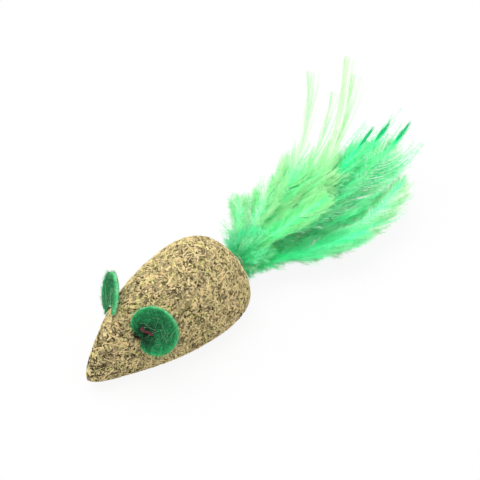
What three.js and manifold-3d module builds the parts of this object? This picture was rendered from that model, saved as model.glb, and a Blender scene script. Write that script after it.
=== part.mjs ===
// Catnip mouse with felt ears and a feather tail. Millimetres, +Z up.
// The origin is on the flat belly, halfway along the body. +X points to the nose and +Y to the mouse's left.
import * as THREE from 'three';
import { mergeVertices } from 'three/addons/utils/BufferGeometryUtils.js';
import Module from 'manifold-3d';

const wasm = await Module();
wasm.setup();

const radians = THREE.MathUtils.degToRad;

// Clearance between neighbouring pieces, and how far a cutting tool runs past what it cuts.
const CLEARANCE = 0.3;
const OVERRUN = 1;

// Pressed body. The seam line is the widest line of each section, with the back above it and the belly below.
const BODY_LENGTH = 62;
const BODY_HALF_WIDTH = 15.4;
const BACK_HEIGHT = 21.8;
const NOSE_SEAM_HEIGHT = 5.2;
const REAR_SEAM_HEIGHT = 7.4;
const BODY_STATIONS = 38;
const BODY_SIDES = 34;
// Half width and back height at equal turns of the half circle from nose to rear.
const WIDTH_SHARES = [0, 0.12, 0.31, 0.545, 0.82, 0.976, 1, 0.877, 0.549, 0];
const BACK_SHARES = [0, 0.27, 0.56, 0.88, 0.975, 1, 0.985, 0.795, 0.385, 0];
// The belly's curve would reach this far below the seam, in seam heights, before it is pressed flat.
const BELLY_SINK_SHARE = 1.12;
const BELLY_FULLNESS_SHARE = 1.1;
// Step in turn and side angle that the body's slopes are taken over.
const SLOPE_STEP_SHARE = 1e-3;

// Felt ears. Each is a disc that is cupped, drawn in to a neck at its root and glued into a pocket.
const EAR_RADIUS = 7.7;
const EAR_THICKNESS = 1.2;
const EAR_LIFT = 0.8;
const EAR_SIDES = 36;
const EAR_RING_SHARES = [0.25, 0.5, 0.75, 0.93, 1];
const EAR_STATION_SHARE = 0.335;
const EAR_SIDE_ANGLE = radians(38);
const EAR_GATHER_SHARE = 0.35;
const NECK_RADIUS = 1.1;
const NECK_DEPTH = 1.4;
const NECK_REACH = 2.6;
const NECK_END_SHARE = 0.8;
const NECK_STEPS = 8;
const EAR_PIVOT_DEPTH = 0.5;
// The felt is trimmed clear of the body at these parts of its swings, backwards and forwards.
const EAR_TRIM_SHARES = [0, 0.5, 1];
const EAR_SWING = radians(15);
const EAR_FORWARD_SWING = radians(25);
const POCKET_DEPTH = 4;
const POCKET_SIDES = 20;
const STITCH_DIAMETER = 0.7;
const STITCH_STEPS = 6;
// How each ear was set by hand: its face turns outwards, tips up, and leans out from upright. The disc's middle
// stands off from the root, and the notch is what its rim keeps clear of it. Lengths are shares of the radius.
// The draw angle is how much of the rim the root draws in. The back swing is how far the ear bends backwards
// before its lower edge meets the body. Only the left ear has a stitch, which runs through three places.
const EARS = [
  {
    name: 'left',
    side: 1,
    faceTurn: radians(26),
    faceTip: radians(23),
    lean: radians(56),
    standOffShare: 0.72,
    notchShare: 0.18,
    cupShare: 0.24,
    foldShare: 0.9,
    gatherReachShare: 0.53,
    drawAngle: radians(30),
    backSwing: radians(15),
    stitchShares: [0.53, 0.48, 0.2],
    stitchAngles: [radians(-133), radians(-108), radians(-44)],
  },
  {
    name: 'right',
    side: -1,
    faceTurn: radians(33),
    faceTip: radians(18),
    lean: radians(-9),
    standOffShare: 0.815,
    notchShare: 0,
    cupShare: 0.14,
    foldShare: 0,
    gatherReachShare: 0.73,
    drawAngle: radians(18),
    backSwing: radians(5),
    stitchShares: [],
    stitchAngles: [],
  },
];

// Tail hole, glue collar and thread whipping, on one level axis at the rear.
const TAIL_HEIGHT = 10;
const TAIL_SEAT_DEPTH = 6;
const TAIL_PIVOT_DEPTH = 2.8;
const TAIL_SWING = radians(17);
const BORE_SIDES = 32;
const COLLAR_LENGTH = 2;
const COLLAR_WALL = 0.7;
const COLLAR_BULGE = 0.25;
const COLLAR_SIDES = 28;
const THREAD_DIAMETER = 0.5;
const THREAD_GAP = 0.45;
const THREAD_TURNS = 3;
const THREAD_STEPS_PER_TURN = 24;
const THREAD_SIDES = 6;

// Quills lie in a hexagonal bunch, row by row from the lowest.
const QUILL_DIAMETER = 0.8;
const QUILL_TIP_DIAMETER = 0.24;
const QUILL_GAP = 0.3;
const QUILL_ROWS = [2, 3, 2, 3, 2];
const ROW_RISE_SHARE = Math.sqrt(3) / 2;
const ROW_SLANT_SHARE = 0.26;

// Feathers. Each lies on its own sheet of the fan, which leaves the whipping at its own pitch and curls up.
const FEATHER_LENGTH = 70;
const FEATHER_HALF_WIDTH = 8;
const VANE_START = 5;
const VANE_THICKNESS = 0.26;
const VANE_CAMBER = 0.5;
const BARB_ANGLE = radians(38);
const LOWEST_PITCH = radians(-4);
const HIGHEST_PITCH = radians(21);
const TIP_PITCH_CURL = radians(13);
const FAN_RAMP = 6;
const FEATHER_STATIONS = 38;
// Half width of the vane at equal steps from its start to the tip, for three kinds of feather.
const PLUME_SHARES = [0, 0.3, 0.62, 0.84, 0.95, 1, 1, 0.97, 0.92, 0.82, 0.66, 0.42, 0.2, 0];
const WISP_SHARES = [0, 0.3, 0.62, 0.86, 0.97, 1, 0.88, 0.66, 0.44, 0.27, 0.17, 0.12, 0.07, 0];
const BLADE_SHARES = [0, 0.3, 0.6, 0.8, 0.9, 0.96, 1, 1, 0.97, 0.92, 0.84, 0.72, 0.5, 0];
// From the lowest feather to the highest: yaw to the mouse's left, its change by the tip, and the vane's size.
const FEATHERS = [
  { yaw: radians(25), curl: radians(-14), lengthShare: 0.96, breadthShare: 0.9, vaneShares: PLUME_SHARES },
  { yaw: radians(7), curl: radians(-2), lengthShare: 1.06, breadthShare: 0.95, vaneShares: PLUME_SHARES },
  { yaw: radians(31), curl: radians(-4), lengthShare: 0.63, breadthShare: 0.62, vaneShares: BLADE_SHARES },
  { yaw: radians(2), curl: 0, lengthShare: 0.97, breadthShare: 0.8, vaneShares: PLUME_SHARES },
  { yaw: radians(1), curl: 0, lengthShare: 0.89, breadthShare: 0.7, vaneShares: PLUME_SHARES },
  { yaw: radians(1), curl: radians(-14), lengthShare: 1.01, breadthShare: 0.78, vaneShares: WISP_SHARES },
  { yaw: radians(2), curl: radians(-16), lengthShare: 1.03, breadthShare: 0.7, vaneShares: WISP_SHARES },
  { yaw: radians(-5), curl: radians(-14), lengthShare: 0.87, breadthShare: 0.85, vaneShares: WISP_SHARES },
  { yaw: radians(-9), curl: radians(-18), lengthShare: 0.89, breadthShare: 0.75, vaneShares: WISP_SHARES },
  { yaw: radians(-18), curl: radians(-6), lengthShare: 0.51, breadthShare: 0.85, vaneShares: WISP_SHARES },
  { yaw: radians(17), curl: radians(4), lengthShare: 0.46, breadthShare: 0.58, vaneShares: BLADE_SHARES },
  { yaw: radians(-43), curl: radians(-6), lengthShare: 0.3, breadthShare: 0.55, vaneShares: BLADE_SHARES },
];
// The vane's edge parts into clumps of barbs: the share of the full width over each run of stations.
const CLUMP_SHARES = [1, 0.97, 0.93, 0.66];

const MATERIALS = {
  catnip: { color: '#9c8a5c', roughness: 0.95 },
  felt: { color: '#2a6e45', roughness: 0.97 },
  redThread: { color: '#7c2c34', roughness: 0.9 },
  whiteThread: { color: '#d9d4c4', roughness: 0.85 },
  glue: { color: '#d8cda8', roughness: 0.35 },
  midFeather: { color: '#46c877', roughness: 0.8 },
  paleFeather: { color: '#92ecaa', roughness: 0.8 },
};

function material(name) {
  return new THREE.MeshStandardMaterial({ name, metalness: 0, ...MATERIALS[name] });
}

function named(name, geometry, materialName) {
  const mesh = new THREE.Mesh(geometry, material(materialName));
  mesh.name = name;
  return mesh;
}

// Six times the volume that the triangles enclose, negative when they face inwards.
function signedVolume(position, index) {
  const corners = [new THREE.Vector3(), new THREE.Vector3(), new THREE.Vector3()];
  let sum = 0;
  for (let f = 0; f < index.length; f += corners.length) {
    corners.forEach((corner, k) => corner.fromBufferAttribute(position, index[f + k]));
    sum += corners[0].dot(corners[1].cross(corners[2]));
  }
  return sum;
}

function middleOf(points) {
  const sum = points.reduce((total, point) => total.add(point), new THREE.Vector3());
  return sum.divideScalar(points.length);
}

// A skin over a stack of rings with equal counts of points, closed at both ends by a fan, with its faces out.
function loft(rings, startPoint = middleOf(rings[0]), endPoint = middleOf(rings.at(-1))) {
  const sides = rings[0].length;
  const points = [startPoint, ...rings.flat(), endPoint];
  const last = points.length - 1;
  const index = [];
  for (let side = 0; side < sides; side += 1) {
    const next = (side + 1) % sides;
    index.push(0, 1 + next, 1 + side);
    for (let ring = 0; ring + 1 < rings.length; ring += 1) {
      const here = 1 + ring * sides;
      const there = here + sides;
      index.push(here + side, here + next, there + next);
      index.push(here + side, there + next, there + side);
    }
    index.push(last, last - sides + side, last - sides + next);
  }
  const geometry = new THREE.BufferGeometry().setFromPoints(points);
  if (signedVolume(geometry.attributes.position, index) < 0) {
    index.reverse();
  }
  geometry.setIndex(index);
  geometry.computeVertexNormals();
  return geometry;
}

// A round tube along a curve, with a radius for each share of its length.
function tube(curve, radiusAt, steps, sides) {
  const frames = curve.computeFrenetFrames(steps, false);
  const rings = [];
  for (let step = 0; step <= steps; step += 1) {
    const centre = curve.getPointAt(step / steps);
    const radius = radiusAt(step / steps);
    const ring = [];
    for (let side = 0; side < sides; side += 1) {
      const turn = (side / sides) * 2 * Math.PI;
      const point = centre.clone();
      point.addScaledVector(frames.normals[step], radius * Math.cos(turn));
      point.addScaledVector(frames.binormals[step], radius * Math.sin(turn));
      ring.push(point);
    }
    rings.push(ring);
  }
  return loft(rings);
}

// A round rod between two points, with its own radius at each.
function rod(from, to, fromRadius, toRadius, sides) {
  const along = to.clone().sub(from);
  const geometry = new THREE.CylinderGeometry(toRadius, fromRadius, along.length(), sides);
  const turn = new THREE.Quaternion();
  turn.setFromUnitVectors(new THREE.Vector3(0, 1, 0), along.clone().normalize());
  geometry.applyQuaternion(turn);
  const centre = from.clone().add(to).divideScalar(2);
  geometry.translate(centre.x, centre.y, centre.z);
  return geometry;
}

function solidOf(geometry) {
  const bare = geometry.clone();
  bare.deleteAttribute('normal');
  bare.deleteAttribute('uv');
  const merged = mergeVertices(bare);
  const vertProperties = new Float32Array(merged.attributes.position.array);
  const triVerts = new Uint32Array(merged.index.array);
  return new wasm.Manifold(new wasm.Mesh({ numProp: 3, vertProperties, triVerts }));
}

function geometryOf(solid) {
  const mesh = solid.getMesh();
  const geometry = new THREE.BufferGeometry();
  geometry.setAttribute('position', new THREE.BufferAttribute(mesh.vertProperties, 3));
  geometry.setIndex(new THREE.BufferAttribute(mesh.triVerts, 1));
  geometry.computeVertexNormals();
  return geometry;
}

// A smooth curve through shares at equal steps. It is mirrored through zero past both ends, which rounds them.
function throughShares(shares, along) {
  const last = shares.length - 1;
  const at = (i) => {
    if (i < 0) return -shares[-i];
    return i > last ? -shares[2 * last - i] : shares[i];
  };
  const place = THREE.MathUtils.clamp(along, 0, 1) * last;
  const i = Math.min(Math.floor(place), last - 1);
  const [before, from, to, after] = [at(i - 1), at(i), at(i + 1), at(i + 2)];
  const slopeFrom = (to - before) / 2;
  const slopeTo = (after - from) / 2;
  const f = place - i;
  const rise = to - from;
  const squared = 3 * rise - 2 * slopeFrom - slopeTo;
  const cubed = slopeFrom + slopeTo - 2 * rise;
  return from + f * (slopeFrom + f * (squared + f * cubed));
}

// Body surface. The turn runs from 0 at the nose to 1 at the rear, the side angle round from the left.
function bodyPoint(turn, sideAngle) {
  const along = (1 - Math.cos(Math.PI * turn)) / 2;
  const seam = THREE.MathUtils.lerp(NOSE_SEAM_HEIGHT, REAR_SEAM_HEIGHT, along);
  const halfWidth = BODY_HALF_WIDTH * throughShares(WIDTH_SHARES, turn);
  const back = BACK_HEIGHT * throughShares(BACK_SHARES, turn);
  const roundness = Math.sqrt(4 * along * (1 - along));
  const belly = BELLY_SINK_SHARE * seam * Math.min(1, BELLY_FULLNESS_SHARE * roundness);
  const rise = Math.sin(sideAngle);
  return new THREE.Vector3(
    BODY_LENGTH / 2 - BODY_LENGTH * along,
    halfWidth * Math.cos(sideAngle),
    seam + (rise > 0 ? back : belly) * rise,
  );
}

function bodyNormal(turn, sideAngle) {
  const slope = (turnStep, sideStep) => {
    const behind = bodyPoint(turn - turnStep, sideAngle - sideStep);
    return bodyPoint(turn + turnStep, sideAngle + sideStep).sub(behind);
  };
  return slope(SLOPE_STEP_SHARE, 0).cross(slope(0, SLOPE_STEP_SHARE)).normalize();
}

// The body's outer form, swollen by an even margin.
function bodyForm(margin) {
  const rings = [];
  for (let station = 1; station < BODY_STATIONS; station += 1) {
    const turn = station / BODY_STATIONS;
    const ring = [];
    for (let side = 0; side < BODY_SIDES; side += 1) {
      const sideAngle = ((side + 1 / 2) / BODY_SIDES) * 2 * Math.PI;
      ring.push(bodyPoint(turn, sideAngle).addScaledVector(bodyNormal(turn, sideAngle), margin));
    }
    rings.push(ring);
  }
  const nose = bodyPoint(0, 0);
  const rear = bodyPoint(1, 0);
  nose.x += margin;
  rear.x -= margin;
  return solidOf(loft(rings, nose, rear));
}

// Where an ear sits: its root on the body, its pocket's direction, and the frame that its felt is drawn in.
function earSeat({ side, faceTurn, faceTip, lean }) {
  const sideAngle = side > 0 ? EAR_SIDE_ANGLE : Math.PI - EAR_SIDE_ANGLE;
  const root = bodyPoint(EAR_STATION_SHARE, sideAngle);
  const outward = bodyNormal(EAR_STATION_SHARE, sideAngle);
  const face = new THREE.Vector3(Math.cos(faceTurn), side * Math.sin(faceTurn), 0);
  face.multiplyScalar(Math.cos(faceTip)).setZ(Math.sin(faceTip));
  const sideways = new THREE.Vector3(-Math.sin(faceTurn), side * Math.cos(faceTurn), 0);
  const upright = face.clone().cross(sideways).multiplyScalar(side);
  const up = upright.multiplyScalar(Math.cos(lean)).addScaledVector(sideways, Math.sin(lean));
  const across = up.clone().cross(face);
  const frame = new THREE.Object3D();
  frame.quaternion.setFromRotationMatrix(new THREE.Matrix4().makeBasis(across, up, face));
  frame.position.copy(root).addScaledVector(outward, -EAR_PIVOT_DEPTH);
  frame.updateMatrixWorld();
  return { root, outward, frame };
}

const pocketRadius = NECK_RADIUS + CLEARANCE + NECK_DEPTH * Math.tan(EAR_SWING);

function pocketTool({ root, outward }) {
  const mouth = root.clone().addScaledVector(outward, OVERRUN);
  const floor = root.clone().addScaledVector(outward, -POCKET_DEPTH);
  return solidOf(rod(floor, mouth, pocketRadius, pocketRadius, POCKET_SIDES));
}

// Middle surface of an ear in its own frame: a dish, drawn in and folded forwards round its root.
function feltPoint(ear, ringShare, angle, offset, rootPlace) {
  const aroundRoot = THREE.MathUtils.euclideanModulo(angle - Math.PI / 2, 2 * Math.PI) - Math.PI;
  const drawn = (1 - ear.standOffShare + ear.notchShare) * Math.exp(-((aroundRoot / ear.drawAngle) ** 2));
  const reach = EAR_RADIUS * (1 - drawn) * ringShare;
  const across = reach * Math.cos(angle);
  const up = EAR_RADIUS * ear.standOffShare + reach * Math.sin(angle);
  const fromRoot = Math.hypot(across, up) / EAR_RADIUS;
  const gather = Math.exp(-((fromRoot / ear.gatherReachShare) ** 2));
  const cup = EAR_RADIUS * ear.cupShare * (ringShare ** 2) * (1 - gather);
  const fold = ear.foldShare * Math.abs(across) * gather;
  return new THREE.Vector3(across * (1 - EAR_GATHER_SHARE * gather), up, cup + fold + offset).add(rootPlace);
}

function feltDisc(ear, rootPlace) {
  const ringAt = (ringShare, offset) => {
    const ring = [];
    for (let side = 0; side < EAR_SIDES; side += 1) {
      ring.push(feltPoint(ear, ringShare, (side / EAR_SIDES) * 2 * Math.PI, offset, rootPlace));
    }
    return ring;
  };
  const half = EAR_THICKNESS / 2;
  const back = EAR_RING_SHARES.map((share) => ringAt(share, -half));
  const front = EAR_RING_SHARES.map((share) => ringAt(share, half)).reverse();
  const backMiddle = feltPoint(ear, 0, 0, -half, rootPlace);
  const frontMiddle = feltPoint(ear, 0, 0, half, rootPlace);
  return loft([...back, ...front], backMiddle, frontMiddle);
}

// The seen run of a stitch, on the face of the felt.
function makeStitch(ear, rootPlace) {
  const above = EAR_THICKNESS / 2 + CLEARANCE + STITCH_DIAMETER / 2;
  const points = ear.stitchShares.map((share, place) => {
    return feltPoint(ear, share, ear.stitchAngles[place], above, rootPlace);
  });
  const path = new THREE.CatmullRomCurve3(points);
  const thread = tube(path, () => STITCH_DIAMETER / 2, STITCH_STEPS, THREAD_SIDES);
  return named(`${ear.name}_ear_stitch`, thread, 'redThread');
}

function makeEar(ear) {
  const { outward, frame } = earSeat(ear);
  const out = outward.clone().applyQuaternion(frame.quaternion.clone().invert());
  const rootPlace = out.clone().multiplyScalar(EAR_PIVOT_DEPTH + EAR_LIFT);
  const neckFoot = out.clone().multiplyScalar(EAR_PIVOT_DEPTH - NECK_DEPTH);
  const neckHead = rootPlace.clone().add(new THREE.Vector3(0, NECK_REACH, 0));
  const neckPath = new THREE.QuadraticBezierCurve3(neckFoot, rootPlace, neckHead);
  const headRadius = (NECK_END_SHARE * EAR_THICKNESS) / 2;
  const radiusAt = (share) => THREE.MathUtils.lerp(NECK_RADIUS, headRadius, share);
  const neck = tube(neckPath, radiusAt, NECK_STEPS, POCKET_SIDES);
  const inEarFrame = frame.matrixWorld.clone().invert().elements;
  const keepOut = bodyForm(CLEARANCE).transform(inEarFrame);
  let felt = solidOf(feltDisc(ear, rootPlace));
  for (const swing of [ear.backSwing, -EAR_FORWARD_SWING]) {
    for (const share of EAR_TRIM_SHARES) {
      felt = felt.subtract(keepOut.rotate(THREE.MathUtils.radToDeg(swing * share), 0, 0));
    }
  }
  const mesh = named(`${ear.name}_ear`, geometryOf(felt.add(solidOf(neck))), 'felt');
  mesh.position.copy(frame.position);
  mesh.quaternion.copy(frame.quaternion);

  if (ear.stitchShares.length === 0) return [mesh];
  const stitch = makeStitch(ear, rootPlace);
  stitch.position.copy(mesh.position);
  stitch.quaternion.copy(mesh.quaternion);
  return [mesh, stitch];
}

function makeEarGlue(ear) {
  const { root, outward } = earSeat(ear);
  const radius = pocketRadius - CLEARANCE;
  const foot = root.clone().addScaledVector(outward, CLEARANCE - POCKET_DEPTH);
  const headDepth = NECK_DEPTH + CLEARANCE + NECK_RADIUS * Math.sin(EAR_SWING);
  const head = root.clone().addScaledVector(outward, -headDepth);
  return named(`${ear.name}_ear_glue`, rod(foot, head, radius, radius, POCKET_SIDES), 'glue');
}

// Quill places in the bunch, across and up from its middle. Each row slants, so no two lie at one height.
const quillSpacing = QUILL_DIAMETER + QUILL_GAP;
const quillPlaces = QUILL_ROWS.flatMap((count, row) => {
  const places = [];
  for (let column = 0; column < count; column += 1) {
    const fromMiddle = column - (count - 1) / 2;
    const rise = (row - (QUILL_ROWS.length - 1) / 2) * ROW_RISE_SHARE + fromMiddle * ROW_SLANT_SHARE;
    places.push({ row, fromMiddle, y: -fromMiddle * quillSpacing, z: rise * quillSpacing });
  }
  return places;
});
const bunchRadius = Math.max(...quillPlaces.map(({ y, z }) => Math.hypot(y, z))) + QUILL_DIAMETER / 2;

// The whipping lies on the bunch, and the collar round the bunch at the pivot of the tail.
const threadPitch = THREAD_DIAMETER + THREAD_GAP;
const whippingRadius = bunchRadius + CLEARANCE + THREAD_DIAMETER / 2;
const whippingSway = whippingRadius * Math.sin(TAIL_SWING);
const whippingStart = COLLAR_LENGTH / 2 + CLEARANCE + THREAD_DIAMETER / 2 + whippingSway;
const whippingLength = THREAD_TURNS * threadPitch;
const quillEnd = whippingStart + whippingLength + THREAD_DIAMETER;
const quillInner = TAIL_SEAT_DEPTH - TAIL_PIVOT_DEPTH;

const collarInner = bunchRadius + CLEARANCE;
const collarMouth = collarInner + (COLLAR_LENGTH / 2) * Math.tan(TAIL_SWING);
const collarOuter = collarMouth + COLLAR_WALL;
const boreRadius = Math.max(
  collarOuter + COLLAR_BULGE + CLEARANCE,
  bunchRadius + CLEARANCE + quillInner * Math.tan(TAIL_SWING),
);
const boreMouthRadius = Math.max(
  boreRadius,
  whippingRadius + THREAD_DIAMETER / 2 + CLEARANCE + TAIL_PIVOT_DEPTH * Math.tan(TAIL_SWING),
);

const tailPivot = new THREE.Vector3(TAIL_PIVOT_DEPTH - BODY_LENGTH / 2, 0, TAIL_HEIGHT);

function boreTool() {
  const atDepth = (depth) => new THREE.Vector3(depth - BODY_LENGTH / 2, 0, TAIL_HEIGHT);
  const floorDepth = TAIL_SEAT_DEPTH + CLEARANCE + bunchRadius * Math.sin(TAIL_SWING);
  const flare = (boreMouthRadius - boreRadius) * (OVERRUN / TAIL_PIVOT_DEPTH);
  const straight = rod(atDepth(floorDepth), atDepth(-OVERRUN), boreRadius, boreRadius, BORE_SIDES);
  const mouthRadius = boreMouthRadius + flare;
  const mouth = rod(atDepth(TAIL_PIVOT_DEPTH), atDepth(-OVERRUN), boreRadius, mouthRadius, BORE_SIDES);
  return solidOf(straight).add(solidOf(mouth));
}

function makeBody() {
  const floor = new THREE.BoxGeometry(2 * BODY_LENGTH, 2 * BODY_LENGTH, REAR_SEAM_HEIGHT);
  floor.translate(0, 0, -REAR_SEAM_HEIGHT / 2);
  let body = bodyForm(0).subtract(solidOf(floor)).subtract(boreTool());
  for (const ear of EARS) {
    body = body.subtract(pocketTool(earSeat(ear)));
  }
  return named('catnip_body', geometryOf(body), 'catnip');
}

// A ring of glue that bulges outside and is waisted inside, so that the bunch can lean in it.
function makeCollar() {
  const half = COLLAR_LENGTH / 2;
  const outline = [
    [collarInner, 0],
    [collarMouth, -half],
    [collarOuter, -half],
    [collarOuter + COLLAR_BULGE, 0],
    [collarOuter, half],
    [collarMouth, half],
    [collarInner, 0],
  ];
  const profile = outline.map(([radius, out]) => new THREE.Vector2(radius, out));
  const collar = new THREE.LatheGeometry(profile, COLLAR_SIDES);
  const mesh = named('tail_glue_collar', collar, 'glue');
  mesh.rotation.z = Math.PI / 2;
  return mesh;
}

// Thread wound in one helix round the bunch, from the body outwards.
class WhippingCurve extends THREE.Curve {
  getPoint(share, target = new THREE.Vector3()) {
    const turn = share * THREAD_TURNS * 2 * Math.PI;
    const out = whippingStart + share * whippingLength;
    return target.set(-out, whippingRadius * Math.cos(turn), whippingRadius * Math.sin(turn));
  }
}

function makeWhipping() {
  const curve = new WhippingCurve();
  const steps = THREAD_TURNS * THREAD_STEPS_PER_TURN;
  const thread = tube(curve, () => THREAD_DIAMETER / 2, steps, THREAD_SIDES);
  return named('quill_whipping', thread, 'whiteThread');
}

// Least gap between one part of the thread and any part at least half a turn on.
function leastWhippingGap() {
  const curve = new WhippingCurve();
  const points = curve.getPoints(THREAD_TURNS * THREAD_STEPS_PER_TURN);
  const apart = THREAD_STEPS_PER_TURN / 2;
  let least = Infinity;
  points.forEach((point, i) => {
    points.slice(i + apart).forEach((other) => {
      least = Math.min(least, point.distanceTo(other) - THREAD_DIAMETER);
    });
  });
  return least;
}
console.log(`least gap between turns of the whipping: ${leastWhippingGap().toFixed(2)} mm`);

// Height of a feather's sheet at a level distance from the fan's middle.
function sheetHeight(number, distance) {
  const pitch = THREE.MathUtils.lerp(LOWEST_PITCH, HIGHEST_PITCH, number / (quillPlaces.length - 1));
  const ramp = THREE.MathUtils.smoothstep(distance, 0, FAN_RAMP);
  const rise = ramp * (pitch + TIP_PITCH_CURL * (distance / FEATHER_LENGTH) ** 2);
  return quillPlaces[number].z + distance * Math.tan(rise);
}

// Level place on a feather's shaft, by distance from the whipping. Inside the whipping it is straight.
function shaftPlace(number, distance) {
  const { yaw, curl } = FEATHERS[number];
  const reach = Math.max(distance, 0);
  const ramp = THREE.MathUtils.smoothstep(reach, 0, FAN_RAMP);
  const swing = ramp * (yaw + curl * (reach / FEATHER_LENGTH) ** 2);
  const out = reach * Math.cos(swing) + distance - reach;
  return new THREE.Vector2(-quillEnd - out, quillPlaces[number].y + reach * Math.sin(swing));
}

// Section of a feather: the shaft's ridge above and below, a thin vane to each side that ends in a sharp edge.
function featherSection(number, distance, shaft, vane, barbs) {
  const place = shaftPlace(number, distance);
  const ahead = shaftPlace(number, distance + shaft).sub(shaftPlace(number, distance - shaft)).normalize();
  const across = new THREE.Vector2(-ahead.y, ahead.x);
  const at = (side, lift, forward) => {
    const level = place.clone().addScaledVector(across, side).addScaledVector(ahead, forward);
    const fromMiddle = distance > 0 ? Math.hypot(level.x + quillEnd, level.y) : 0;
    return new THREE.Vector3(level.x, level.y, sheetHeight(number, fromMiddle) + lift);
  };
  const shoulder = Math.SQRT1_2 * shaft;
  const shoulderLift = vane > shaft ? Math.min(shoulder, VANE_THICKNESS / 2) : shoulder;
  const edge = Math.max(shaft, vane * barbs);
  const spread = edge > shaft ? edge * Math.cos(BARB_ANGLE) : 0;
  const droop = -VANE_CAMBER * ((vane * barbs) / FEATHER_HALF_WIDTH) ** 2;
  return [
    at(edge, droop, spread),
    at(shoulder, shoulderLift, 0),
    at(0, shaft, 0),
    at(-shoulder, shoulderLift, 0),
    at(-edge, droop, spread),
    at(-shoulder, -shoulderLift, 0),
    at(0, -shaft, 0),
    at(shoulder, -shoulderLift, 0),
  ];
}

function makeFeather(number) {
  const { lengthShare, breadthShare, vaneShares } = FEATHERS[number];
  const length = FEATHER_LENGTH * lengthShare;
  const rings = [featherSection(number, -quillEnd - quillInner, QUILL_DIAMETER / 2, 0, 1)];
  for (let station = 0; station < FEATHER_STATIONS; station += 1) {
    const share = station / FEATHER_STATIONS;
    const distance = share * length;
    const shaft = THREE.MathUtils.lerp(QUILL_DIAMETER, QUILL_TIP_DIAMETER, share) / 2;
    const vaneShare = throughShares(vaneShares, (distance - VANE_START) / (length - VANE_START));
    const barbs = CLUMP_SHARES[station % CLUMP_SHARES.length];
    const vane = FEATHER_HALF_WIDTH * breadthShare * vaneShare;
    rings.push(featherSection(number, distance, shaft, vane, barbs));
  }
  const tipPlace = shaftPlace(number, length);
  const tipDistance = Math.hypot(tipPlace.x + quillEnd, tipPlace.y);
  const tip = new THREE.Vector3(tipPlace.x, tipPlace.y, sheetHeight(number, tipDistance));
  const name = `feather_${String(number + 1).padStart(2, '0')}`;
  const midCount = QUILL_ROWS[0] + QUILL_ROWS[1];
  return named(name, loft(rings, undefined, tip), number < midCount ? 'midFeather' : 'paleFeather');
}

const mouse = new THREE.Group();
mouse.add(makeBody());
for (const ear of EARS) {
  mouse.add(...makeEar(ear), makeEarGlue(ear));
}

const tail = new THREE.Group();
tail.position.copy(tailPivot);
tail.add(makeCollar(), makeWhipping());
for (let number = 0; number < quillPlaces.length; number += 1) {
  tail.add(makeFeather(number));
}
mouse.add(tail);

export default mouse;
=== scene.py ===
from types import SimpleNamespace
from typing import NamedTuple

import bpy
import numpy as np
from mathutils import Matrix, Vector


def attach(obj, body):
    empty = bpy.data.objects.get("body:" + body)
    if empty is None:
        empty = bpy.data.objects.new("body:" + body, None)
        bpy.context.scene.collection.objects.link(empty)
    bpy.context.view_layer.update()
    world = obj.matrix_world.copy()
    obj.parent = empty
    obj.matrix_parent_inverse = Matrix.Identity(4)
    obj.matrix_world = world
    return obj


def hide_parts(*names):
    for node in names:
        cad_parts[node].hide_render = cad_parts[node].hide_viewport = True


bl_info = {
    "name": "Catnip mouse",
    "version": (1, 0, 0),
    "blender": (4, 5, 0),
    "location": "3D View > Sidebar > Catnip mouse",
    "description": "Dresses the catnip mouse with pressed stems, felt ears, thread and feathers",
    "category": "Object",
}

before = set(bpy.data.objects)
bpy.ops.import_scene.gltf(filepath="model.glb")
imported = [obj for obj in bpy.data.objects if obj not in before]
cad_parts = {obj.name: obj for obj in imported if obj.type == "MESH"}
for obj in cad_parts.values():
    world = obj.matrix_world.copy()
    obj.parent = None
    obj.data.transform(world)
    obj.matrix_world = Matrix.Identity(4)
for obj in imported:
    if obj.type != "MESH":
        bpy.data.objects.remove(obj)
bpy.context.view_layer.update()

# Shapes are worked out in millimetres. +X is to the nose, +Y to the mouse's left, +Z up from the flat belly.
MM = 0.001

# Pressed body.
BODY_LENGTH = 62
BODY_HALF_WIDTH = 15.4
BACK_HEIGHT = 21.8
NOSE_SEAM_HEIGHT = 5.2
REAR_SEAM_HEIGHT = 7.4
WIDTH_SHARES = (0, 0.12, 0.31, 0.545, 0.82, 0.976, 1, 0.877, 0.549, 0)
BACK_SHARES = (0, 0.27, 0.56, 0.88, 0.975, 1, 0.985, 0.795, 0.385, 0)
BELLY_SINK_SHARE = 1.12
BELLY_FULLNESS_SHARE = 1.1
BELLY_PROUD = 0.06

# Pressed herb: how its places are found and settled, how far it keeps from openings, and its colour numbers.
SKIN_TRIES = 4
SKIN_TURNS = (0.012, 0.988)
SETTLING_STEP = 0.05
SETTLING_REACH = 1.5
WELL_SETTLED = 0.06
HERB_ROLL = 0.3
HERB_BREADTHS = (0.55, 1.1)
HERB_MARGIN = 0.2
REAR_FROM = -20
POCKET_MARGIN = 0.15
POCKET_REACH = 3
NOSE_LENGTHS = (8, 26)
HERB_TONE = 0.57
HERB_TONE_SPREAD = 0.36
# How much paler a piece is for each millimetre that it stands proud: painted light on proud pieces, painted
# shade on sunk ones.
HERB_PAINTED_LIGHT_RISE = 1.6

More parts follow.
